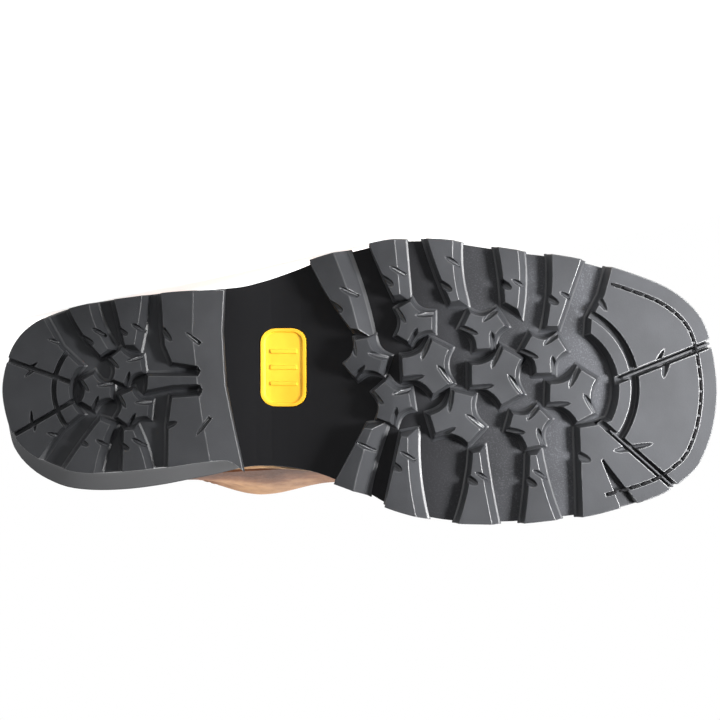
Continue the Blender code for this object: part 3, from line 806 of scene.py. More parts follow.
@dataclass(frozen=True)
class MouldedRubber(Finish):
    """Carbon-filled rubber from a steel mould: satin on the lugs, dull and pebbled on the groove floors."""

    name: str = "moulded_rubber_lug"
    dark: str = "#232427"
    light: str = "#2f3033"
    cloud_mm: float = 22.0
    fleck: str = "#2f3033"
    fleck_mm: float = 0.9
    fleck_share: float = 0.0
    roughness: float = 0.80
    rough_swing: float = 0.06
    pebble_mm: float = 0.8
    pebble_height_mm: float = 0.03
    shine: float = 0.4
    # Painted shade: the colour that the floor darkens to at the waist, where it also shines less
    waist: str = ""
    waist_shine: float = 0.15
    waist_end: float = 0.54
    forefoot_start: float = 0.86

    def make(self) -> Material:
        """Builds the material: clouded black, flecks and pebbles, all fading to a smooth, near-black waist of
        painted shade if it has one.

        Returns:
            The material.
        """
        material, tree, at = self.start()
        clouds = add(tree, "TexNoise", {"Scale": per_mm(self.cloud_mm), "Detail": 4.0}, at)
        grit = add(tree, "TexNoise", {"Scale": per_mm(self.fleck_mm), "Detail": 2.0}, at)
        pebbles = add(tree, "TexNoise", {"Scale": per_mm(self.pebble_mm), "Detail": 3.0}, at)
        base = add(tree, "ValToRGB", None, {"Fac": clouds}, stops=((0.35, self.dark), (0.68, self.light)))
        share = {"From Min": 0.52, "From Max": 0.70, "To Max": self.fleck_share}
        spots = add(tree, "MapRange", share, {"Value": grit})
        tone = add(tree, "Mix", {"B": colour(self.fleck)}, {"Factor": spots, "A": base}, data_type="RGBA")
        swing = {"To Min": self.roughness - self.rough_swing, "To Max": self.roughness + self.rough_swing}
        links = {"Roughness": add(tree, "MapRange", swing, {"Value": clouds})}
        relief = {"Height": pebbles}
        # Painted shade: towards the waist the colour fades to near-black and the shine drops; the pebbles
        # fading out there is the rubber's own smoother finish
        if self.waist:
            along = add(tree, "Attribute", out="Fac", attribute_name=ALONG)
            reach = {"From Min": self.waist_end, "From Max": self.forefoot_start}
            near = add(tree, "MapRange", reach, {"Value": along})
            tone = add(tree, "Mix", {"A": colour(self.waist)}, {"Factor": near, "B": tone}, data_type="RGBA")
            relief["Strength"] = near
            shine = {"To Min": self.waist_shine, "To Max": self.shine}
            links["Specular IOR Level"] = add(tree, "MapRange", shine, {"Value": near})
        height = {"Strength": 1.0, "Distance": self.pebble_height_mm * MM}
        links |= {"Base Color": tone, "Normal": add(tree, "Bump", height, relief)}
        connect(tree, tree.nodes[SHADER], {"Specular IOR Level": self.shine}, links)
        return material


@dataclass(frozen=True)
class PullUpLeather(Finish):
    """Oiled pull-up leather: waxy brown that pales where it is pulled, with pores and a faint sheen; its pull
    attribute also carries painted light and painted shade.
    """

    name: str = "pull_up_leather"
    deep: str = "#553523"
    mid: str = "#82593f"
    pale: str = "#c0946c"
    cloud_mm: float = 34.0
    mottle_mm: float = 7.0
    mottle_share: float = 0.4
    pore_mm: float = 0.9
    pore_height_mm: float = 0.06
    scuff_mm: float = 2.2
    scuff_share: float = 0.35
    smoothest: float = 0.48
    roughest: float = 0.72
    shine: float = 0.08

    def make(self) -> Material:
        """Builds the material: clouded brown that pales, or darkens, by the piece's own attribute of pull,
        painted light and painted shade, with pores and scuffs.

        Returns:
            The material.
        """
        material, tree, at = self.start()
        clouds = add(tree, "TexNoise", {"Scale": per_mm(self.cloud_mm), "Detail": 8.0}, at)
        mottle = add(tree, "TexNoise", {"Scale": per_mm(self.mottle_mm), "Detail": 6.0}, at)
        tone = add(tree, "Mix", {"Factor": self.mottle_share}, {"A": clouds, "B": mottle})
        # The attribute holds the leather's pull, with painted light added and painted shade taken off
        stretch_and_painted_shading = add(tree, "Attribute", out="Fac", attribute_name=PULL_AND_PAINTED_SHADING)
        tone_with_painted_shading = add(tree, "Math", None, {0: tone, 1: stretch_and_painted_shading}, operation="ADD")
        stops = ((0.30, self.deep), (0.52, self.mid), (0.80, self.pale))
        base = add(tree, "ValToRGB", None, {"Fac": tone_with_painted_shading}, stops=stops)
        scratchy = {"Detail": 8.0, "Roughness": 0.7, "Distortion": 1.5}
        scuffs = add(tree, "TexNoise", {"Scale": per_mm(self.scuff_mm), **scratchy}, at)
        swing = {"From Min": 0.3, "From Max": 0.7, "To Min": self.smoothest, "To Max": self.roughest}
        dull = add(tree, "MapRange", swing, {"Value": scuffs})
        pores = add(tree, "TexVoronoi", {"Scale": per_mm(self.pore_mm)}, at, feature="DISTANCE_TO_EDGE")
        relief = add(tree, "Mix", {"Factor": self.scuff_share}, {"A": pores, "B": scuffs})
        height = {"Strength": 0.8, "Distance": self.pore_height_mm * MM}
        bump = add(tree, "Bump", height, {"Height": relief})
        links = {"Base Color": base, "Roughness": dull, "Normal": bump}
        connect(tree, tree.nodes[SHADER], {"Specular IOR Level": self.shine}, links)
        return material


@dataclass(frozen=True)
class PlainLeather(Finish):
    """Vegetable-tanned leather with no top coat: an even, dry tan with fine fibre."""

    name: str
    dark: str
    light: str
    roughness: float = 0.72
    cloud_mm: float = 14.0
    fibre_mm: float = 0.7
    fibre_height_mm: float = 0.05

    def make(self) -> Material:
        """Builds the material: clouded tan and a fibrous bump.

        Returns:
            The material.
        """
        material, tree, at = self.start()
        clouds = add(tree, "TexNoise", {"Scale": per_mm(self.cloud_mm), "Detail": 6.0}, at)
        base = add(tree, "ValToRGB", None, {"Fac": clouds}, stops=((0.34, self.dark), (0.68, self.light)))
        fibre = add(tree, "TexNoise", {"Scale": per_mm(self.fibre_mm), "Detail": 4.0}, at)
        height = {"Strength": 1.0, "Distance": self.fibre_height_mm * MM}
        bump = add(tree, "Bump", height, {"Height": fibre})
        links = {"Base Color": base, "Normal": bump}
        connect(tree, tree.nodes[SHADER], {"Roughness": self.roughness}, links)
        return material


@dataclass(frozen=True)
class WaxedThread(Finish):
    """Waxed polyester thread: a tight twist that shows as fine slanted ribs with a dull shine."""

    name: str = "waxed_thread_dark"
    dark: str = "#0a0a0b"
    light: str = "#18181a"
    twist_mm: float = 0.5
    bands_per_scale: float = 6.0
    roughness: float = 0.75
    shine: float = 0.1

    def make(self) -> Material:
        """Builds the material: ribs of two tones across the thread.

        Returns:
            The material.
        """
        material, tree, at = self.start()
        scale = {"Scale": per_mm(self.twist_mm) / self.bands_per_scale, "Distortion": 1.0}
        twist = add(tree, "TexWave", scale, at, out="Fac", bands_direction="DIAGONAL")
        base = add(tree, "ValToRGB", None, {"Fac": twist}, stops=((0.2, self.dark), (0.8, self.light)))
        values = {"Roughness": self.roughness, "Specular IOR Level": self.shine}
        connect(tree, tree.nodes[SHADER], values, {"Base Color": base})
        return material


@dataclass(frozen=True)
class LitAcrylic(Finish):
    """White acrylic of a product table, lit from below: a matt, even white with hardly a shadow."""

    name: str = "lit_white_acrylic"
    tone: str = "#f6f6f5"
    glow: float = 0.92
    grain_mm: float = 3.0
    grain_height_mm: float = 0.01
    roughness: float = 0.9

    def make(self) -> Material:
        """Builds the material: a glowing white with a trace of satin grain.

        Returns:
            The material.
        """
        material, tree, at = self.start()
        grain = add(tree, "TexNoise", {"Scale": per_mm(self.grain_mm)}, at)
        bump = add(tree, "Bump", {"Distance": self.grain_height_mm * MM}, {"Height": grain})
        white = {"Base Color": colour(self.tone), "Emission Color": colour(self.tone)}
        values = {**white, "Emission Strength": self.glow, "Roughness": self.roughness}
        connect(tree, tree.nodes[SHADER], values, {"Normal": bump})
        return material


LUG_RUBBER = MouldedRubber()
FLOOR_RUBBER = MouldedRubber(
    name="moulded_rubber_groove_floor",
    dark="#2c2d30",
    light="#3d3e42",
    fleck="#6c6d72",
    fleck_mm=0.6,
    fleck_share=0.30,
    pebble_mm=0.6,
    pebble_height_mm=0.07,
    # The waist colour is painted shade
    waist="#131315",
)
EDGE_RUBBER = MouldedRubber(name="moulded_rubber_polished_edge", roughness=0.42, shine=0.6)
AMBER_RUBBER = MouldedRubber("moulded_rubber_amber", "#e0a21a", "#efb92a", fleck="#f4c84a", roughness=0.5)
UPPER_LEATHER = PullUpLeather()
LINING_LEATHER = PlainLeather("lining_leather", "#a98a66", "#c4a682", roughness=0.8)
WELT_LEATHER = PlainLeather("welt_leather", "#a07a55", "#c9a27a")
INSOLE_LEATHER = PlainLeather("insole_leather", "#a98258", "#c9a378")
SOLE_THREAD = WaxedThread()
TAN_THREAD = WaxedThread("waxed_thread_tan", "#8c6a45", "#c7a173")


def dress(piece: Piece, *materials: Material) -> None:
    """Gives a piece its materials in place of those that it has.

    Args:
        piece: The piece to dress.
        materials: Its materials, in the order of their numbers.
    """
    piece.data.materials.clear()
    for material in materials:
        piece.data.materials.append(material)


def keep(piece: Piece, node: str = "") -> Piece:
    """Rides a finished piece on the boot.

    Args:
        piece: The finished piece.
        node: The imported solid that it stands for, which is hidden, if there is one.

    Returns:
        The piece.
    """
    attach(piece, "root")
    if node:
        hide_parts(node)
    LOG.info("%s: %d triangles", piece.name, sum(len(face.vertices) - 2 for face in piece.data.polygons))
    return piece


# Sole

@dataclass(frozen=True)
class SolePiece:
    """What all pieces of the sole share: they are made flat and laid down, and all but the heel are bent to
    the last first.
    """

    laying: Laying
    last: Last

    def settle(self, piece: Piece, node: str) -> Piece:
        """Bends a flat piece to the last and lays it down.

        Args:
            piece: The flat piece.
            node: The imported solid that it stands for.

        Returns:
            The finished piece.
        """
        self.last.slice(piece)
        flat = coordinates(piece)
        mark(piece, ALONG, flat[:, 0] / self.last.toe_tip)
        move_points(piece, self.laying.place(self.last.bend(flat)))
        shade(piece)
        return keep(piece, node)


@dataclass(frozen=True)
class Tread(SolePiece):
    """What the forefoot's and the heel's tread share: blocks with sloped sides, and the nicks in them."""

    depth: float = 7.0
    draft: float = 13.0
    sink: float = 1.0
    overrun: float = 4.0
    bar_steps: int = 9
    valley: float = 0.45
    valley_steps: int = 9
    groove_depth: float = 4.0
    rounding: float = 0.4
    notch_width: float = 3.8
    nick_width: float = 2.2
    nick_depth: float = 3.2
    nick_length: float = 4.0
    nick_slant: float = 0.55
    nick_steps: int = 4
    nick_clear: float = 0.3
    nick_rise: float = 0.75
    nick_floor_width: float = 0.45
    nick_floor_length: float = 0.9
    sipe_depth: float = 3.8
    sipe_width: float = 3.2
    sipe_mouth: tuple[float, float] = (0.92, 1.1)
    sipe_tip: tuple[float, float] = (0.12, 0.82)
    lead: float = 0.8
    rib_drop: float = 1.3
    rib_share: float = 0.3
    rib_start: float = 9.0
    fillet_rise: float = 0.6
    fillet_run: float = 1.0
    sharp: float = 28.0
    merge: float = 0.3

    @property
    def run(self) -> float:
        """Gives how far a block's sides run out from the ground down to the floor."""
        return self.depth * math.tan(math.radians(self.draft))

    def block(self, ground: Points, run: float | Points) -> Piece:
        """Models a block with sloped sides and a fillet along its foot.

        Args:
            ground: The outline of its ground face, counter-clockwise.
            run: How far its sides run out down to the floor, the same or point by point.

        Returns:
            The block.
        """
        high = self.depth - self.fillet_rise
        foot = offset(ground, run + self.fillet_run)
        rings = ((ground, 0.0), (offset(ground, run * high / self.depth), high), (foot, self.depth))
        return stacked("block", [at_level(*ring) for ring in (*rings, (foot, self.depth + self.sink))])

    def nick(self, mouth: Points, tip: Points, width: float, depth: float, lead: float) -> Piece:
        """Models the cutter of a leaf-shaped cut, with a round tip and a floor that rises towards it.

        Args:
            mouth: The point on the block's edge where the cut opens.
            tip: The point in the block's face where it ends.
            width: Its width at the mouth.
            depth: Its depth at the mouth.
            lead: How far it runs on outside the mouth.

        Returns:
            The cutter.
        """
        inward = np.subtract(tip, mouth)
        length = np.linalg.norm(inward)
        beside = np.array((-inward[1], inward[0])) / length * width / 2
        turn = np.linspace(0.0, np.pi / 2, self.nick_steps)
        t = np.append(-lead / length, np.sin(turn))
        spread = np.append(1.0, np.cos(turn))[:, None]
        rings = []
        for narrow, reach, heights in (
            (1.0, 1.0, np.full(len(t), -self.nick_clear)),
            (self.nick_floor_width, self.nick_floor_length, depth * (1 - self.nick_rise * t)),
        ):
            middle = mouth + reach * t[:, None] * inward
            side = narrow * spread * beside
            loop = np.vstack([middle + side, (middle - side)[-2::-1]])
            rings.append(np.column_stack([loop, np.append(heights, heights[-2::-1])]))
        return stacked("nick", rings)

    def bar(self, bar: Bar, rows: Sequence[Edge]) -> Piece:
        """Models one bar with its nicks, running past the sole's edge.

        Args:
            bar: The table row of the bar.
            rows: The edge that it runs in from.

        Returns:
            The bar.
        """
        t = np.linspace(0.0, 1.0, self.bar_steps)
        slant = np.array((1.0, self.nick_slant)) / math.hypot(1.0, self.nick_slant) * self.nick_length
        back = (bar.edge_back, bar.tip_back, bar.tip_back_out, bar.bow_back, bar.nick_back)
        front = (bar.edge_front, bar.tip_front, bar.tip_front_out, bar.bow_front, bar.nick_front)
        sides, cutters = [], []
        for (edge_u, tip_u, tip_out, bow, nick), inward, width in (
            (back, slant, self.notch_width),
            (front, -slant, self.nick_width),
        ):
            edge_out = self.last.across(rows, edge_u, bar.side) + self.overrun
            u = edge_u + (tip_u - edge_u) * t + 4 * bow * t * (1 - t)
            y = bar.side * (edge_out + (tip_out - edge_out) * t)
            sides.append(np.stack([u, y], 1))
            mouth = np.array((np.interp(nick, t, u), np.interp(nick, t, y)))
            if nick:
                cutters.append(self.nick(mouth, mouth + inward, width, self.nick_depth, self.overrun))
        outline = np.vstack([sides[0], sides[1][::-1]])
        run = np.repeat((self.run, bar.front_run), self.bar_steps)
        ground = counter_clockwise(outline)
        if not np.allclose(ground[0], outline[0]):
            run = run[::-1]
        piece = self.block(ground, run)
        for cutter in cutters:
            combine(piece, cutter, Cut.AWAY)
        return piece

    def three_armed(self, lug: Lug) -> Piece:
        """Models a block with three flat-ended arms, hollow sides and a sipe along each arm.

        Args:
            lug: The table row of the block.

        Returns:
            The block.
        """
        middle = np.array((lug.u, -lug.lateral))
        points, cutters = [], []
        for arm in range(3):
            angles = [-math.radians(lug.turn + 120.0 * (arm + k)) for k in range(2)]
            along, following = (np.array((math.cos(a), math.sin(a))) for a in angles)
            beside, after = (np.array((d[1], -d[0])) * lug.end_width / 2 for d in (along, following))
            points.append(middle + along * lug.reach - beside)
            start = along * lug.reach + beside
            stop = following * lug.reach - after
            hollow = (along + following) * lug.reach * self.valley
            for t in np.arange(self.valley_steps) / self.valley_steps:
                points.append(middle + start * (1 - t) ** 2 + 2 * hollow * t * (1 - t) + stop * t * t)
            ends = [middle + along * lug.reach * p + beside * q for p, q in (self.sipe_mouth, self.sipe_tip)]
            cutters.append(self.nick(*ends, self.sipe_width, self.sipe_depth, self.overrun))
        piece = self.block(counter_clockwise(points), self.run)
        for cutter in cutters:
            combine(piece, cutter, Cut.AWAY)
        return piece

    @staticmethod
    def strip(groove: Groove, share: float = 1.0) -> Points:
        """Draws the outline of a straight groove.

        Args:
            groove: The table row of the groove.
            share: The share of its width that the outline takes.

        Returns:
            The outline in the plan.
        """
        start, stop = np.array((groove.u, -groove.lateral)), np.array((groove.to_u, -groove.to_lateral))
        along = (stop - start) / np.linalg.norm(stop - start)
        beside = np.array((-along[1], along[0])) * share / 2
        wide, to_wide = groove.width, groove.to_width
        ends = ((start, -wide), (stop, -to_wide), (stop, to_wide), (start, wide))
        return counter_clockwise([end + beside * width for end, width in ends])

    def rib(self, groove: Groove) -> Piece:
        """Models the low rib along the middle of a groove, from a little way in.

        Args:
            groove: The table row of the groove.

        Returns:
            The rib.
        """
        start, stop = np.array(groove[:2]), np.array(groove[2:4])
        u, lateral = start + (stop - start) * self.rib_start / np.linalg.norm(stop - start)
        outline = self.strip(groove._replace(u=u, lateral=lateral), self.rib_share)
        return prism("rib", outline, self.rib_drop, self.groove_depth + self.sink)

    def carve(self, piece: Piece, outline: Points, depth: float) -> None:
        """Cuts an outline into a block from the ground."""
        combine(piece, prism("cutter", outline, -self.sink, depth), Cut.AWAY)

    def grooved(self, piece: Piece, grooves: Sequence[Groove], arc: Arc, nicks: Sequence[Nick]) -> Piece:
        """Cuts grooves and nicks into a large block.

        Args:
            piece: The block.
            grooves: Its straight grooves.
            arc: Its round groove.
            nicks: Its leaf-shaped cuts.

        Returns:
            The block.
        """
        for groove in grooves:
            self.carve(piece, self.strip(groove), self.groove_depth)
        ring = arc_points(arc, arc.outer) + arc_points(arc, arc.inner)[::-1]
        self.carve(piece, counter_clockwise(ring), self.groove_depth)
        return self.nicked(piece, nicks)

    def nicked(self, piece: Piece, nicks: Sequence[Nick]) -> Piece:
        """Cuts leaf-shaped nicks into a block.

        Args:
            piece: The block.
            nicks: The table of nicks.

        Returns:
            The block.
        """
        for nick in nicks:
            mouth, tip = np.array((nick.u, -nick.lateral)), np.array((nick.to_u, -nick.to_lateral))
            combine(piece, self.nick(mouth, tip, nick.width, self.nick_depth, self.lead), Cut.AWAY)
        return piece

    def trim(self, blocks: Sequence[Piece], loop: Points) -> None:
        """Trims blocks to an outline."""
        for block in blocks:
            combine(block, prism("trim", loop, -self.sink, self.depth + 2 * self.sink), Cut.KEEP)

    def finished(self, name: str, blocks: Sequence[Piece]) -> Piece:
        """Joins blocks, and rounds and dresses them with polished edges and fillets.

        Args:
            name: The name of the joined piece.
            blocks: The blocks.

        Returns:
            The joined piece.
        """
        piece = joined(name, blocks)
        dress(piece, LUG_RUBBER.make(), EDGE_RUBBER.make())
        with editing(piece):
            bpy.ops.mesh.remove_doubles(threshold=self.merge)
            bpy.ops.mesh.dissolve_degenerate(threshold=self.merge / 3)
        for face in piece.data.polygons:
            face.material_index = int(face.center.z > self.depth - self.fillet_rise)
        soften(piece, self.rounding, above=self.sharp, material=1)
        return piece


@dataclass(frozen=True)
class Outsole(Tread):
    """The outsole: a plate with the forefoot's lugs under it, and the channel of the toe's stitches."""

    plate_top: float = 12.0
    floor_facing: float = -0.7
    proud: float = 1.0
    stitch_inset: float = 6.2
    channel_half: float = 0.65
    channel_depth: float = 0.8
    stitch_back_lateral: float = 261.0
    stitch_back_medial: float = 257.0

    def lugs(self, loop: Points) -> Piece:
        """Models all lugs of the forefoot, trimmed to the sole's edge.

        Args:
            loop: The outline of the plate.

        Returns:
            The lugs as one flat piece.
        """
        edged = [self.bar(bar, SOLE_EDGE) for bar in FOREFOOT_BARS]
        basin = arc_points(TOE_BASIN, TOE_BASIN.outer)
        outline = plan(TOE_LATERAL) + basin + plan(TOE_MEDIAL + TOE_FRONT)
        toe = self.block(counter_clockwise(outline), self.run)
        edged.append(self.grooved(toe, TOE_GROOVES, TOE_ARC, TOE_NICKS))
        runs = [self.stitch_run(self.stitch_inset + side * self.channel_half) for side in (-1, 1)]
        self.carve(toe, counter_clockwise(np.vstack([runs[0], runs[1][::-1]])), self.channel_depth)
        edged += [self.rib(groove) for groove in TOE_GROOVES[:2]]
        self.trim(edged, offset(loop, self.proud))
        return self.finished("lugs", edged + [self.three_armed(lug) for lug in FOREFOOT_LUGS])

    def build(self, pocket: Points, pocket_depth: float) -> Piece:
        """Builds and dresses the outsole.

        Args:
            pocket: The outline of the plug's pocket.
            pocket_depth: How deep the pocket is.

        Returns:
            The finished outsole.
        """
        loop = self.last.edge_loop(SOLE_EDGE)
        lugs = self.lugs(loop)
        plate = prism("plate", loop, self.depth, self.plate_top)
        hollow = prism("pocket", pocket, self.depth - self.sink, self.depth + pocket_depth)
        combine(plate, hollow, Cut.AWAY)
        soften(plate, self.rounding)
        dress(plate, FLOOR_RUBBER.make(), lugs.data.materials[0])
        for face in plate.data.polygons:
            face.material_index = 0 if face.normal.z < self.floor_facing else 1
        return self.settle(joined("outsole_tread", [plate, lugs]), "outsole")

    def stitch_run(self, inset: float) -> Points:
        """Draws a run round the toe, at a distance inside the edge.

        Args:
            inset: The distance from the edge.

        Returns:
            Its points in the plan, from the outer to the inner side.
        """
        loop = offset(self.last.edge_loop(SOLE_EDGE), -inset)
        back = np.where(loop[:, 1] < 0, self.stitch_back_lateral, self.stitch_back_medial)
        kept = loop[loop[:, 0] > back]
        return kept[np.argsort(np.arctan2(kept[:, 1], kept[:, 0] - self.stitch_back_medial))]

    def stitch_line(self) -> Points:
        """Lays the toe's stitch line on the tread, in the frame."""
        return self.laying.place(self.last.bend(at_level(self.stitch_run(self.stitch_inset), 0.0)))


@dataclass(frozen=True)
class Heel(Tread):
    """The heel block: a flared wall over the tread, with a bare strip and the breast at its front."""

    depth: float = 6.5
    rounding: float = 0.3
    notch_width: float = 2.8
    nick_width: float = 2.1
    nick_length: float = 3.0
    sipe_width: float = 2.4
    sharp: float = 18.0
    wall_rounding: float = 0.7
    seat: float = 25.7
    waist_level: float = 13.0
    waist_share: float = 0.22
    points: int = 150
    strip_rise: float = 5.5
    breast_lean: float = -1.0
    breast_chamfer: float = 0.7
    cut_away: float = 40.0
    curve_steps: int = 10

    def outline(self, rows: Sequence[Edge]) -> Points:
        """Draws the heel's outline from its inner front corner round the back to its outer front corner.

        Args:
            rows: The table of edges.

        Returns:
            The open outline.
        """
        inner = [(row.u, row.medial) for row in rows[::-1]]
        outer = [(row.u, -row.lateral) for row in rows[1:]]
        run = smooth_loop(inner + outer, self.curve_steps)[: 1 - self.curve_steps]
        length = np.linalg.norm(np.diff(run, axis=0), axis=1).sum()
        return walked(run, length / (self.points - 1))

    def front_cutter(self) -> Piece:
        """Models what is cut off in front of the breast and under the bare strip.

        Returns:
            The cutter.
        """
        rings = []
        for row in HEEL_FRONT:
            slope = (row.breast - row.crease) / self.strip_rise
            profile = (
                (row.crease - slope * self.sink, -self.sink),
                (row.breast + self.cut_away, -self.sink),
                (row.breast + self.cut_away, self.seat + self.sink),
                (row.breast + self.breast_lean, self.seat + self.sink),
                (row.breast, self.strip_rise + self.breast_chamfer),
                (row.breast - self.breast_chamfer, self.strip_rise - self.breast_chamfer / slope),
            )
            rings.append(np.array([(u, -row.lateral, z) for u, z in profile]))
        return stacked("heel front", rings)

    def build(self) -> Piece:
        """Builds and dresses the heel.

        Returns:
            The finished heel.
        """
        tread = self.outline(HEEL_EDGE)
        seat = self.outline([row for row in SOLE_EDGE if row.u <= HEEL_EDGE[-1].u])
        waist = tread + (seat - tread) * self.waist_share
        levels = ((tread, self.depth), (waist, self.waist_level), (seat, self.seat))
        body = stacked("heel body", [at_level(*level) for level in levels])
        combine(body, self.front_cutter(), Cut.AWAY)
        blocks = [self.bar(bar, HEEL_EDGE) for bar in HEEL_BARS]
        basin = arc_points(BACK_BASIN, BACK_BASIN.outer)[1:-1]
        outline = plan(BACK_LATERAL) + basin + plan(BACK_MEDIAL)
        back = self.block(counter_clockwise(outline), self.run)
        blocks.append(self.grooved(back, BACK_GROOVES, BACK_ARC, BACK_NICKS))
        front = self.block(counter_clockwise(plan(FRONT_BLOCK)), self.run)
        blocks.append(self.nicked(front, FRONT_NICKS))
        self.trim(blocks, counter_clockwise(tread))
        combine(front, self.front_cutter(), Cut.AWAY)
        lugs = self.finished("heel lugs", blocks + [self.three_armed(lug) for lug in HEEL_LUGS])
        dress(body, *lugs.data.materials)
        soften(body, self.wall_rounding, material=1)
        piece = joined("heel_block", [body, lugs])
        move_points(piece, self.laying.place(coordinates(piece)))
        shade(piece)
        return keep(piece, "heel")


@dataclass(frozen=True)
class Plug(SolePiece):
    """The amber plug in the waist: a rounded plate with a raised rim and three plain ribs."""

    length: float = 18.0
    width: float = 34.0
    corner: float = 6.0
    u: float = 118.0
    y: float = -7.5
    face: float = 7.0
    proud: float = 0.4
    pocket: float = 1.8
    gap: float = 0.3
    rim: float = 1.8
    rim_slope: float = 0.4
    sunk: float = 0.7
    rib_spacing: float = 7.0
    rib_width: float = 1.7
    rib_clear: float = 2.0
    rib_drop: float = 0.1
    rib_foot: float = 0.3
    rib_flare: float = 0.2
    rounding: float = 0.22
    corner_steps: int = 8
    corners: tuple[tuple[int, int], ...] = ((1, 1), (-1, 1), (-1, -1), (1, -1))

    def outline(self, grow: float) -> Points:
        """Draws the plug's outline.

        Args:
            grow: The distance by which it is grown.

        Returns:
            The outline in the plan.
        """
        half = np.array((self.length, self.width)) / 2 + grow
        corner = self.corner + grow
        points = []
        for quarter, signs in enumerate(self.corners):
            middle = np.array((self.u, self.y)) + (half - corner) * signs
            for angle in np.radians(90.0 * quarter + np.linspace(0.0, 90.0, self.corner_steps + 1)):
                points.append(middle + corner * np.array((math.cos(angle), math.sin(angle))))
        return np.array(points)

    def build(self) -> Piece:
        """Builds and dresses the plug.

        Returns:
            The finished plug.
        """
        low = self.face - self.proud
        inner = low + self.sunk
        rings = (
            (self.outline(-self.rim), inner),
            (self.outline(self.rim_slope - self.rim), low),
            (self.outline(0.0), low),
            (self.outline(0.0), self.face + self.pocket - self.gap),
        )
        pieces = [stacked("plug", [at_level(*ring) for ring in rings])]
        half = np.array((self.length / 2 - self.rim - self.rib_clear, self.rib_width / 2))
        for step in (-1, 0, 1):
            loop = np.array((self.u, self.y + step * self.rib_spacing)) + half * np.array(self.corners)
            foot = offset(loop, self.rib_flare)
            levels = (at_level(loop, low + self.rib_drop), at_level(foot, inner + self.rib_foot))
            pieces.append(stacked("rib", levels))
        piece = joined("waist_plug_plate", pieces)
        soften(piece, self.rounding)
        dress(piece, AMBER_RUBBER.make())
        return self.settle(piece, "waist_plug")


@dataclass(frozen=True)
class Welt(SolePiece):
    """The welt: a leather strip on the plate's edge, stitched through to the outsole."""

    low: float = 12.3
    thickness: float = 3.2
    hole_inset: float = 2.1
    stitch_inset: float = 2.9
    rounding: float = 0.5
    sink: float = 1.0

    def build(self) -> Piece:
        """Builds and dresses the welt.

        Returns:
            The finished welt.
        """
        loop = self.last.edge_loop(SOLE_EDGE)
        high = self.low + self.thickness
        piece = prism("welt_strip", self.last.moved_in(loop, WELT_MARGIN), self.low, high)
        inner = offset(self.last.moved_in(loop, FEATHER_MARGIN), -self.hole_inset)
        combine(piece, prism("hole", inner, self.low - self.sink, high + self.sink), Cut.AWAY)
        soften(piece, self.rounding, segments=3)
        dress(piece, WELT_LEATHER.make())
        return self.settle(piece, "welt")

    def stitch_line(self) -> Points:
        """Draws the closed stitch line on top of the welt, in the frame."""
        loop = offset(self.last.edge_loop(SOLE_EDGE), -self.stitch_inset)
        return self.laying.place(self.last.bend(at_level(loop, self.low + self.thickness)))


# Upper

class Fold(NamedTuple):
    """A crease: three points of its line in the standing boot, its half width and its depth."""

    start: Place
    middle: Place
    stop: Place
    width: float
    depth: float


class Oval(NamedTuple):
    """A level line of the upper: its ends along the boot and above the ground, sag and half widths."""

    front: float
    front_h: float
    back: float
    back_h: float
    sag: float
    lateral: float
    medial: float
    widest: float


FOLDS = (
    Fold((196.0, -56.0, 40.0), (206.0, 0.0, 84.0), (202.0, 54.0, 40.0), 3.4, 1.3),
    Fold((206.0, -54.0, 44.0), (217.0, 4.0, 80.0), (211.0, 52.0, 38.0), 3.0, 1.0),
    Fold((186.0, -54.0, 42.0), (193.0, -6.0, 88.0), (192.0, 52.0, 44.0), 3.6, 1.0),
    Fold((112.0, -46.0, 96.0), (156.0, 0.0, 118.0), (110.0, 44.0, 92.0), 5.0, 2.0),
    Fold((96.0, -47.0, 112.0), (148.0, 0.0, 136.0), (98.0, 43.0, 108.0), 5.5, 2.2),
    Fold((84.0, -46.0, 128.0), (138.0, 0.0, 158.0), (86.0, 42.0, 126.0), 6.0, 1.8),
    Fold((60.0, -44.0, 118.0), (6.0, 0.0, 128.0), (60.0, 40.0, 116.0), 6.0, 1.6),
    Fold((64.0, -45.0, 142.0), (8.0, 0.0, 156.0), (66.0, 40.0, 142.0), 7.0, 1.4),
    Fold((82.0, 44.0, 44.0), (86.0, 45.0, 54.0), (95.0, 46.0, 63.0), 1.4, 0.3),
    Fold((87.0, 44.0, 44.0), (91.0, 45.0, 55.0), (101.0, 46.0, 66.0), 1.4, 0.3),
    Fold((92.0, 43.0, 42.0), (97.0, 45.0, 54.0), (108.0, 47.0, 66.0), 1.5, 0.3),
)
SEAM = Oval(162.5, 132.0, 8.4, 99.0, 26.0, 41.0, 40.0, 0.48)
COLLAR = Oval(147.5, 300.0, 2.2, 298.0, 0.0, 47.0, 42.0, 0.50)
# Lines through the middle of the shaft and the foot
SPINE = (
    ((76.0, -3.0, 300.0), (76.0, -3.0, 95.0)),
    ((76.0, -3.0, 95.0), (48.0, 2.0, 48.0)),
    ((76.0, -3.0, 95.0), (150.0, -4.0, 52.0)),
    ((150.0, -4.0, 52.0), (250.0, 0.0, 40.0)),
)


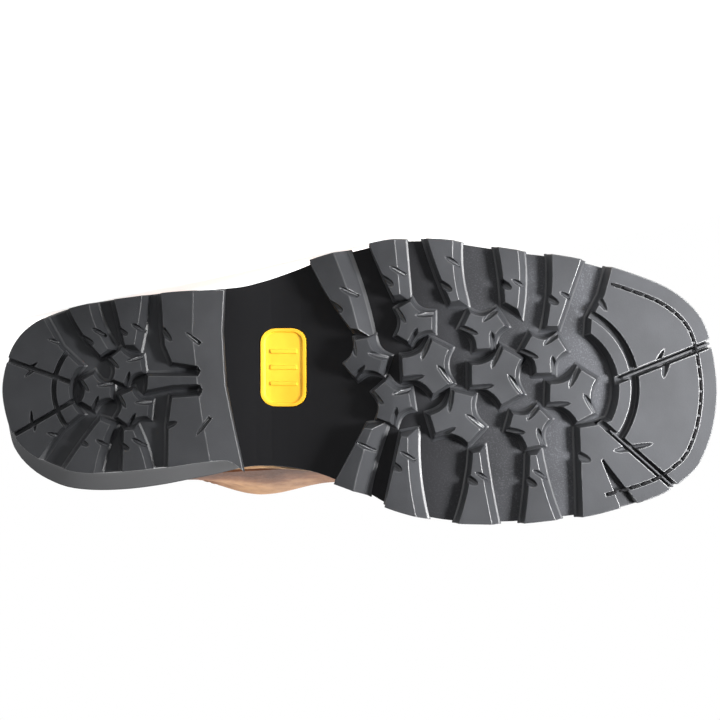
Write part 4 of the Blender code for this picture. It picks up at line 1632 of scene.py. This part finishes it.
@dataclass(frozen=True)
class Upper:
    """The upper: one hollow wall of leather with its lining, creases and stitch lines."""

    laying: Laying
    last: Last
    foot: float = 15.5
    # Painted shade along the foot of the upper, just above the welt, and a pool of painted light on the inner
    # side of the arch
    painted_foot_shade: float = 0.36
    painted_foot_shade_reach: float = 18.0
    painted_light_spot: Place = (112.0, 48.0, 68.0)
    painted_light_reach: float = 26.0
    painted_light_gain: float = 0.30
    pull_gain: float = 0.16
    pull_most: float = 1.5
    core_pull: float = 0.5
    ridge_place: float = 1.9
    ridge_share: float = 0.45
    fold_steps: int = 24
    fold_margin: float = 0.02
    fold_fade: float = 0.6
    merge: float = 0.02
    flat_within: float = 40.0
    square_within: float = 60.0
    sharp: float = 32.0
    edge_crease: float = 0.9
    levels: int = 2
    shade_angle: float = 40.0
    shaft_u: float = 76.0
    shaft_y: float = -3.0
    fullness: float = 0.9
    line_steps: int = 120
    line_reach: float = 30.0

    def copy(self) -> Piece:
        """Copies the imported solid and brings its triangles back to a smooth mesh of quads.

        Returns:
            The copy, subdivided, with its rims and its seam step kept crisp.
        """
        bpy.ops.object.select_all(action="DESELECT")
        piece = bpy.data.objects.new("boot_upper", frame["nodes"]["upper"].data.copy())
        bpy.context.scene.collection.objects.link(piece)
        limits = {"face_threshold": self.flat_within, "shape_threshold": self.square_within}
        with editing(piece):
            bpy.ops.mesh.customdata_custom_splitnormals_clear()
            bpy.ops.mesh.remove_doubles(threshold=self.merge * MM)
            bpy.ops.mesh.tris_convert_to_quads(**{key: math.radians(angle) for key, angle in limits.items()})
            bpy.ops.mesh.select_all(action="DESELECT")
            bpy.ops.mesh.select_mode(type="EDGE")
            bpy.ops.mesh.edges_select_sharp(sharpness=math.radians(self.sharp))
            bpy.ops.transform.edge_crease(value=self.edge_crease)
        modify(piece, "SUBSURF", levels=self.levels, render_levels=self.levels)
        return piece

    def inside(self, points: Points, normals: Points) -> Points:
        """Finds what belongs to the lining.

        Args:
            points: Points of the standing boot.
            normals: Which way the surface looks there.

        Returns:
            Whether the surface looks to the spine, point by point.
        """
        away = []
        for start, stop in SPINE:
            along = np.subtract(stop, start)
            share = np.clip((points - start) @ along / (along @ along), 0.0, 1.0)
            away.append(points - start - share[:, None] * along)
        away = np.array(away)
        nearest = np.linalg.norm(away, axis=2).argmin(0)
        return (normals * away[nearest, np.arange(len(points))]).sum(1) < 0

    def crease(self, piece: Piece) -> None:
        """Presses the creases into the wall, and marks where the leather is pulled pale, with painted light on
        the inner side of the arch and painted shade along the foot of the upper.

        Args:
            piece: The upper.
        """
        points = self.laying.stand(coordinates(piece))
        normals = coordinates(piece, "normal") @ self.laying.turn
        out = np.where(self.inside(points, normals)[:, None], -normals, normals)
        sunk, pull = np.zeros(len(points)), np.zeros(len(points))
        t = np.linspace(0.0, 1.0, self.fold_steps)[:, None]
        inner = self.fold_margin + (1 - 2 * self.fold_margin) * t[:, 0]
        for fold in FOLDS:
            start, middle, stop = (np.array(p) for p in fold[:3])
            control = 2 * middle - (start + stop) / 2
            line = start * (1 - t) ** 2 + 2 * control * t * (1 - t) + stop * t**2
            apart = np.linalg.norm(points[:, None] - line[None], axis=2)
            away = apart.min(1) / fold.width
            fade = np.sin(np.pi * inner[apart.argmin(1)]) ** self.fold_fade
            ridge = np.exp(-((away - self.ridge_place) ** 2))
            sunk += fold.depth * fade * (np.exp(-(away**2)) - self.ridge_share * ridge)
            pull += fade * min(1.0, fold.depth) * (ridge + self.core_pull * np.exp(-((2 * away) ** 2)))
        rise = points[:, 2] - self.last.height(points[:, 0]) - self.foot
        # Painted shade: the leather darkens along its foot, where shade falls between the upper and the welt
        dark = self.painted_foot_shade * np.exp(-((rise / self.painted_foot_shade_reach) ** 2))
        # Painted light: a pale pool on the inner side of the arch stands in for the light that falls there
        apart = np.linalg.norm(points - self.painted_light_spot, axis=1) / self.painted_light_reach
        move_points(piece, self.laying.place(points - out * sunk[:, None]))
        # The pull is marked with the painted light added and the painted shade taken off
        pull_and_painted_shading = self.pull_gain * np.minimum(pull, self.pull_most) + self.painted_light_gain * np.exp(-(apart**2))
        mark(piece, PULL_AND_PAINTED_SHADING, pull_and_painted_shading - dark)

    def build(self) -> Piece:
        """Builds and dresses the upper.

        Returns:
            The finished upper.
        """
        piece = self.copy()
        self.crease(piece)
        dress(piece, UPPER_LEATHER.make(), LINING_LEATHER.make())
        faces = piece.data.polygons
        middles = self.laying.stand(np.array([face.center for face in faces]))
        normals = np.array([face.normal for face in faces]) @ self.laying.turn
        faces.foreach_set("material_index", self.inside(middles, normals).astype(np.int32))
        shade(piece, self.shade_angle)
        return keep(piece, "upper")

    def line(self, oval: Oval, below: float, piece: Piece) -> Points:
        """Draws a closed line round the upper at a distance below an oval, and lays it on the leather.

        Args:
            oval: The level line to follow.
            below: How far below it the line runs.
            piece: The finished upper.

        Returns:
            The points of the line in the frame.
        """
        angle = np.linspace(0.0, 2 * np.pi, self.line_steps, endpoint=False)
        along = (1 + np.cos(angle)) / 2
        bent = along ** (math.log(0.5) / math.log(oval.widest))
        round_off = np.sqrt(np.clip(1 - (2 * bent - 1) ** 2, 0.0, 1.0)) ** self.fullness
        x = oval.back + (oval.front - oval.back) * along
        y = np.where(np.sin(angle) > 0, oval.medial, -oval.lateral) * round_off
        z = oval.back_h + (oval.front_h - oval.back_h) * along - oval.sag * round_off**2 - below
        wished = self.laying.place(np.stack([x, y, z], 1))
        outward = np.stack([x - self.shaft_u, y - self.shaft_y, np.zeros_like(x)], 1)
        outward = outward / np.linalg.norm(outward, axis=1, keepdims=True) @ self.laying.turn.T
        tree = BVHTree.FromObject(piece, bpy.context.evaluated_depsgraph_get())
        reach = self.line_reach * MM
        landed = []
        for point, out in zip(wished, outward):
            found = tree.ray_cast(Vector(point + out * reach), Vector(-out), 2 * reach)[0]
            landed.append(found if found is not None else tree.find_nearest(Vector(point))[0])
        return np.array(landed)


# Stitches

@dataclass(frozen=True)
class StitchRow:
    """A row of thread stitches along a line."""

    pitch: float = 3.4
    length: float = 2.6
    thread: float = 0.8
    lift: float = 0.1
    fullness: float = 0.7
    shade_angle: float = 60.0

    def single(self) -> tuple[Points, list[tuple[int, ...]]]:
        """Models one stitch about the origin, lying along x, in millimetres.

        Returns:
            Its points and the corners of its faces.
        """
        bpy.ops.object.select_all(action="DESELECT")
        bpy.ops.mesh.primitive_uv_sphere_add(segments=8, ring_count=6, radius=0.5)
        ball = bpy.context.active_object
        points = coordinates(ball)[:, [2, 0, 1]]
        faces = [tuple(face.vertices) for face in ball.data.polygons]
        bpy.data.objects.remove(ball)
        full = np.sign(points) * np.abs(2 * points) ** self.fullness / 2
        return full * (self.length, self.thread, self.thread), faces

    def build(self, name: str, line: Points, closed: bool, out: Points, finish: WaxedThread) -> None:
        """Builds and dresses a row of stitches.

        Args:
            name: The name of the piece.
            line: The points of the line, in the frame.
            closed: Whether the line returns to its start.
            out: Which way is out of the surface, one direction for all or one for each point of the line.
            finish: The thread.
        """
        line = smooth_loop(line, 4) if closed else line
        places = walked(line, self.pitch * MM / 2, closed)
        if closed and len(places) % 2:
            places = places[:-1]
        ahead = np.roll(places, -1, 0) - np.roll(places, 1, 0)
        if not closed:
            ahead[0], ahead[-1] = places[1] - places[0], places[-1] - places[-2]
        ahead = ahead / np.linalg.norm(ahead, axis=1, keepdims=True)
        out = np.broadcast_to(out, line.shape) if len(out) != len(line) else out
        nearest = np.linalg.norm(places[:, None] - line[None], axis=2).argmin(1)
        up = out[nearest] - ahead * (out[nearest] * ahead).sum(1, keepdims=True)
        up = up / np.linalg.norm(up, axis=1, keepdims=True)
        shape, faces = self.single()
        points, corners = [], []
        for place, x, z in list(zip(places, ahead, up))[::2]:
            turn = np.array([x, np.cross(z, x), z])
            corners += [tuple(len(points) * len(shape) + i for i in face) for face in faces]
            points.append((shape * MM) @ turn + place + z * self.lift * MM)
        mesh = bpy.data.meshes.new(name)
        mesh.from_pydata(np.vstack(points), [], corners)
        piece = bpy.data.objects.new(name, mesh)
        bpy.context.scene.collection.objects.link(piece)
        dress(piece, finish.make())
        shade(piece, self.shade_angle)
        keep(piece)


# Studio

class Lamp(NamedTuple):
    """A square soft light: its place and aim in the frame, side in metres, watts and beam in degrees."""

    name: str
    place: Place
    aim: Place
    size: float
    power: float
    spread: float


LAMPS = (
    Lamp("key", (-0.58, -0.62, 0.20), (-0.17, -0.14, 0.09), 0.20, 1.3, 36.0),
    Lamp("back", (0.03, 0.35, 0.90), (0.03, -0.06, 0.08), 0.40, 1.1, 50.0),
)


@dataclass(frozen=True)
class Studio:
    """Floor, light and camera."""

    laying: Laying
    floor_size: float = 24.0
    aim: Place = (152.7, -10.7, 0.0)
    distance: float = 1.2
    view_width: float = 0.3072
    sensor: float = 36.0

    def floor(self) -> None:
        """Lays the floor."""
        bpy.ops.object.select_all(action="DESELECT")
        bpy.ops.mesh.primitive_plane_add(size=self.floor_size)
        floor = bpy.context.active_object
        floor.name = "studio_floor"
        dress(floor, LitAcrylic().make())

    def camera(self) -> None:
        """Sets the camera up where the photograph was taken from, square to the tread."""
        right, up, back = (self.laying.direction(axis) for axis in ((1, 0, 0), (0, -1, 0), (0, 0, -1)))
        camera = bpy.data.objects.new("camera", bpy.data.cameras.new("camera"))
        bpy.context.scene.collection.objects.link(camera)
        place = Matrix((right, up, back)).transposed().to_4x4()
        place.translation = Vector(self.laying.place(np.array([self.aim]))[0]) + back * self.distance
        camera.matrix_world = place
        camera.data.sensor_width = self.sensor
        camera.data.lens = self.sensor * self.distance / self.view_width
        bpy.context.scene.camera = camera

    def light(self, lamp: Lamp) -> None:
        """Hangs a square soft light that looks at a place of the boot.

        Args:
            lamp: The table row of the light.
        """
        data = bpy.data.lights.new(lamp.name, "AREA")
        data.size = lamp.size
        data.energy = lamp.power
        data.spread = math.radians(lamp.spread)
        light = bpy.data.objects.new(lamp.name, data)
        bpy.context.scene.collection.objects.link(light)
        light.location = lamp.place
        light.rotation_mode = "QUATERNION"
        light.rotation_quaternion = (Vector(lamp.place) - Vector(lamp.aim)).to_track_quat("Z", "Y")

    def sky(self) -> None:
        """Surrounds the scene with soft light, bright behind the boot and dim behind the camera."""
        world = bpy.data.worlds.new("studio")
        bpy.context.scene.world = world
        world.use_nodes = True
        tree = world.node_tree
        place = add(tree, "TexCoord", out="Generated")
        depth = add(tree, "SeparateXYZ", None, {"Vector": place}, out="Y")
        share = add(tree, "MapRange", {"From Min": -0.4, "From Max": 0.75}, {"Value": depth})
        tone = add(tree, "ValToRGB", None, {"Fac": share}, stops=((0.0, "#050505"), (1.0, "#ffffff")))
        tree.links.new(tone, tree.nodes["Background"].inputs["Color"])

    def build(self) -> None:
        """Sets up the floor, the lights and the camera."""
        self.floor()
        self.camera()
        self.sky()
        for lamp in LAMPS:
            self.light(lamp)
        bpy.context.scene.view_settings.view_transform = "Standard"


def main() -> None:
    """Builds the boot's pieces in order, then the studio."""
    logging.basicConfig(level=logging.INFO, format="%(name)s %(message)s")
    laying, last = Laying(), Last()
    plug = Plug(laying, last)
    outsole = Outsole(laying, last)
    outsole.build(plug.outline(plug.gap), plug.pocket)
    Heel(laying, last).build()
    plug.build()
    welt = Welt(laying, last)
    welt.build()
    dress(frame["nodes"]["insole"], INSOLE_LEATHER.make())
    upper = Upper(laying, last)
    leather = upper.build()
    under = np.array([laying.direction((0.0, 0.0, -1.0))])
    toe_row = StitchRow(pitch=5.3, length=4.5, thread=1.4, lift=0.0)
    toe_row.build("toe_stitches", outsole.stitch_line(), False, under, SOLE_THREAD)
    welt_row = StitchRow(pitch=5.3, length=4.2, thread=0.9)
    welt_row.build("welt_stitches", welt.stitch_line(), True, -under, TAN_THREAD)
    middle = laying.place(np.array([(upper.shaft_u, upper.shaft_y, 0.0)]))[0]
    for name, oval, rows in (("seam", SEAM, (2.2, 4.6)), ("collar", COLLAR, (4.0, 9.0))):
        for number, below in enumerate(rows, 1):
            line = upper.line(oval, below, leather)
            out = (line - middle) @ (np.eye(3) - np.outer(under[0], under[0]))
            StitchRow().build(f"{name}_stitches_{number}", line, True, smooth_loop(out, 4), TAN_THREAD)
    Studio(laying).build()


if __name__ == "__main__":
    main()
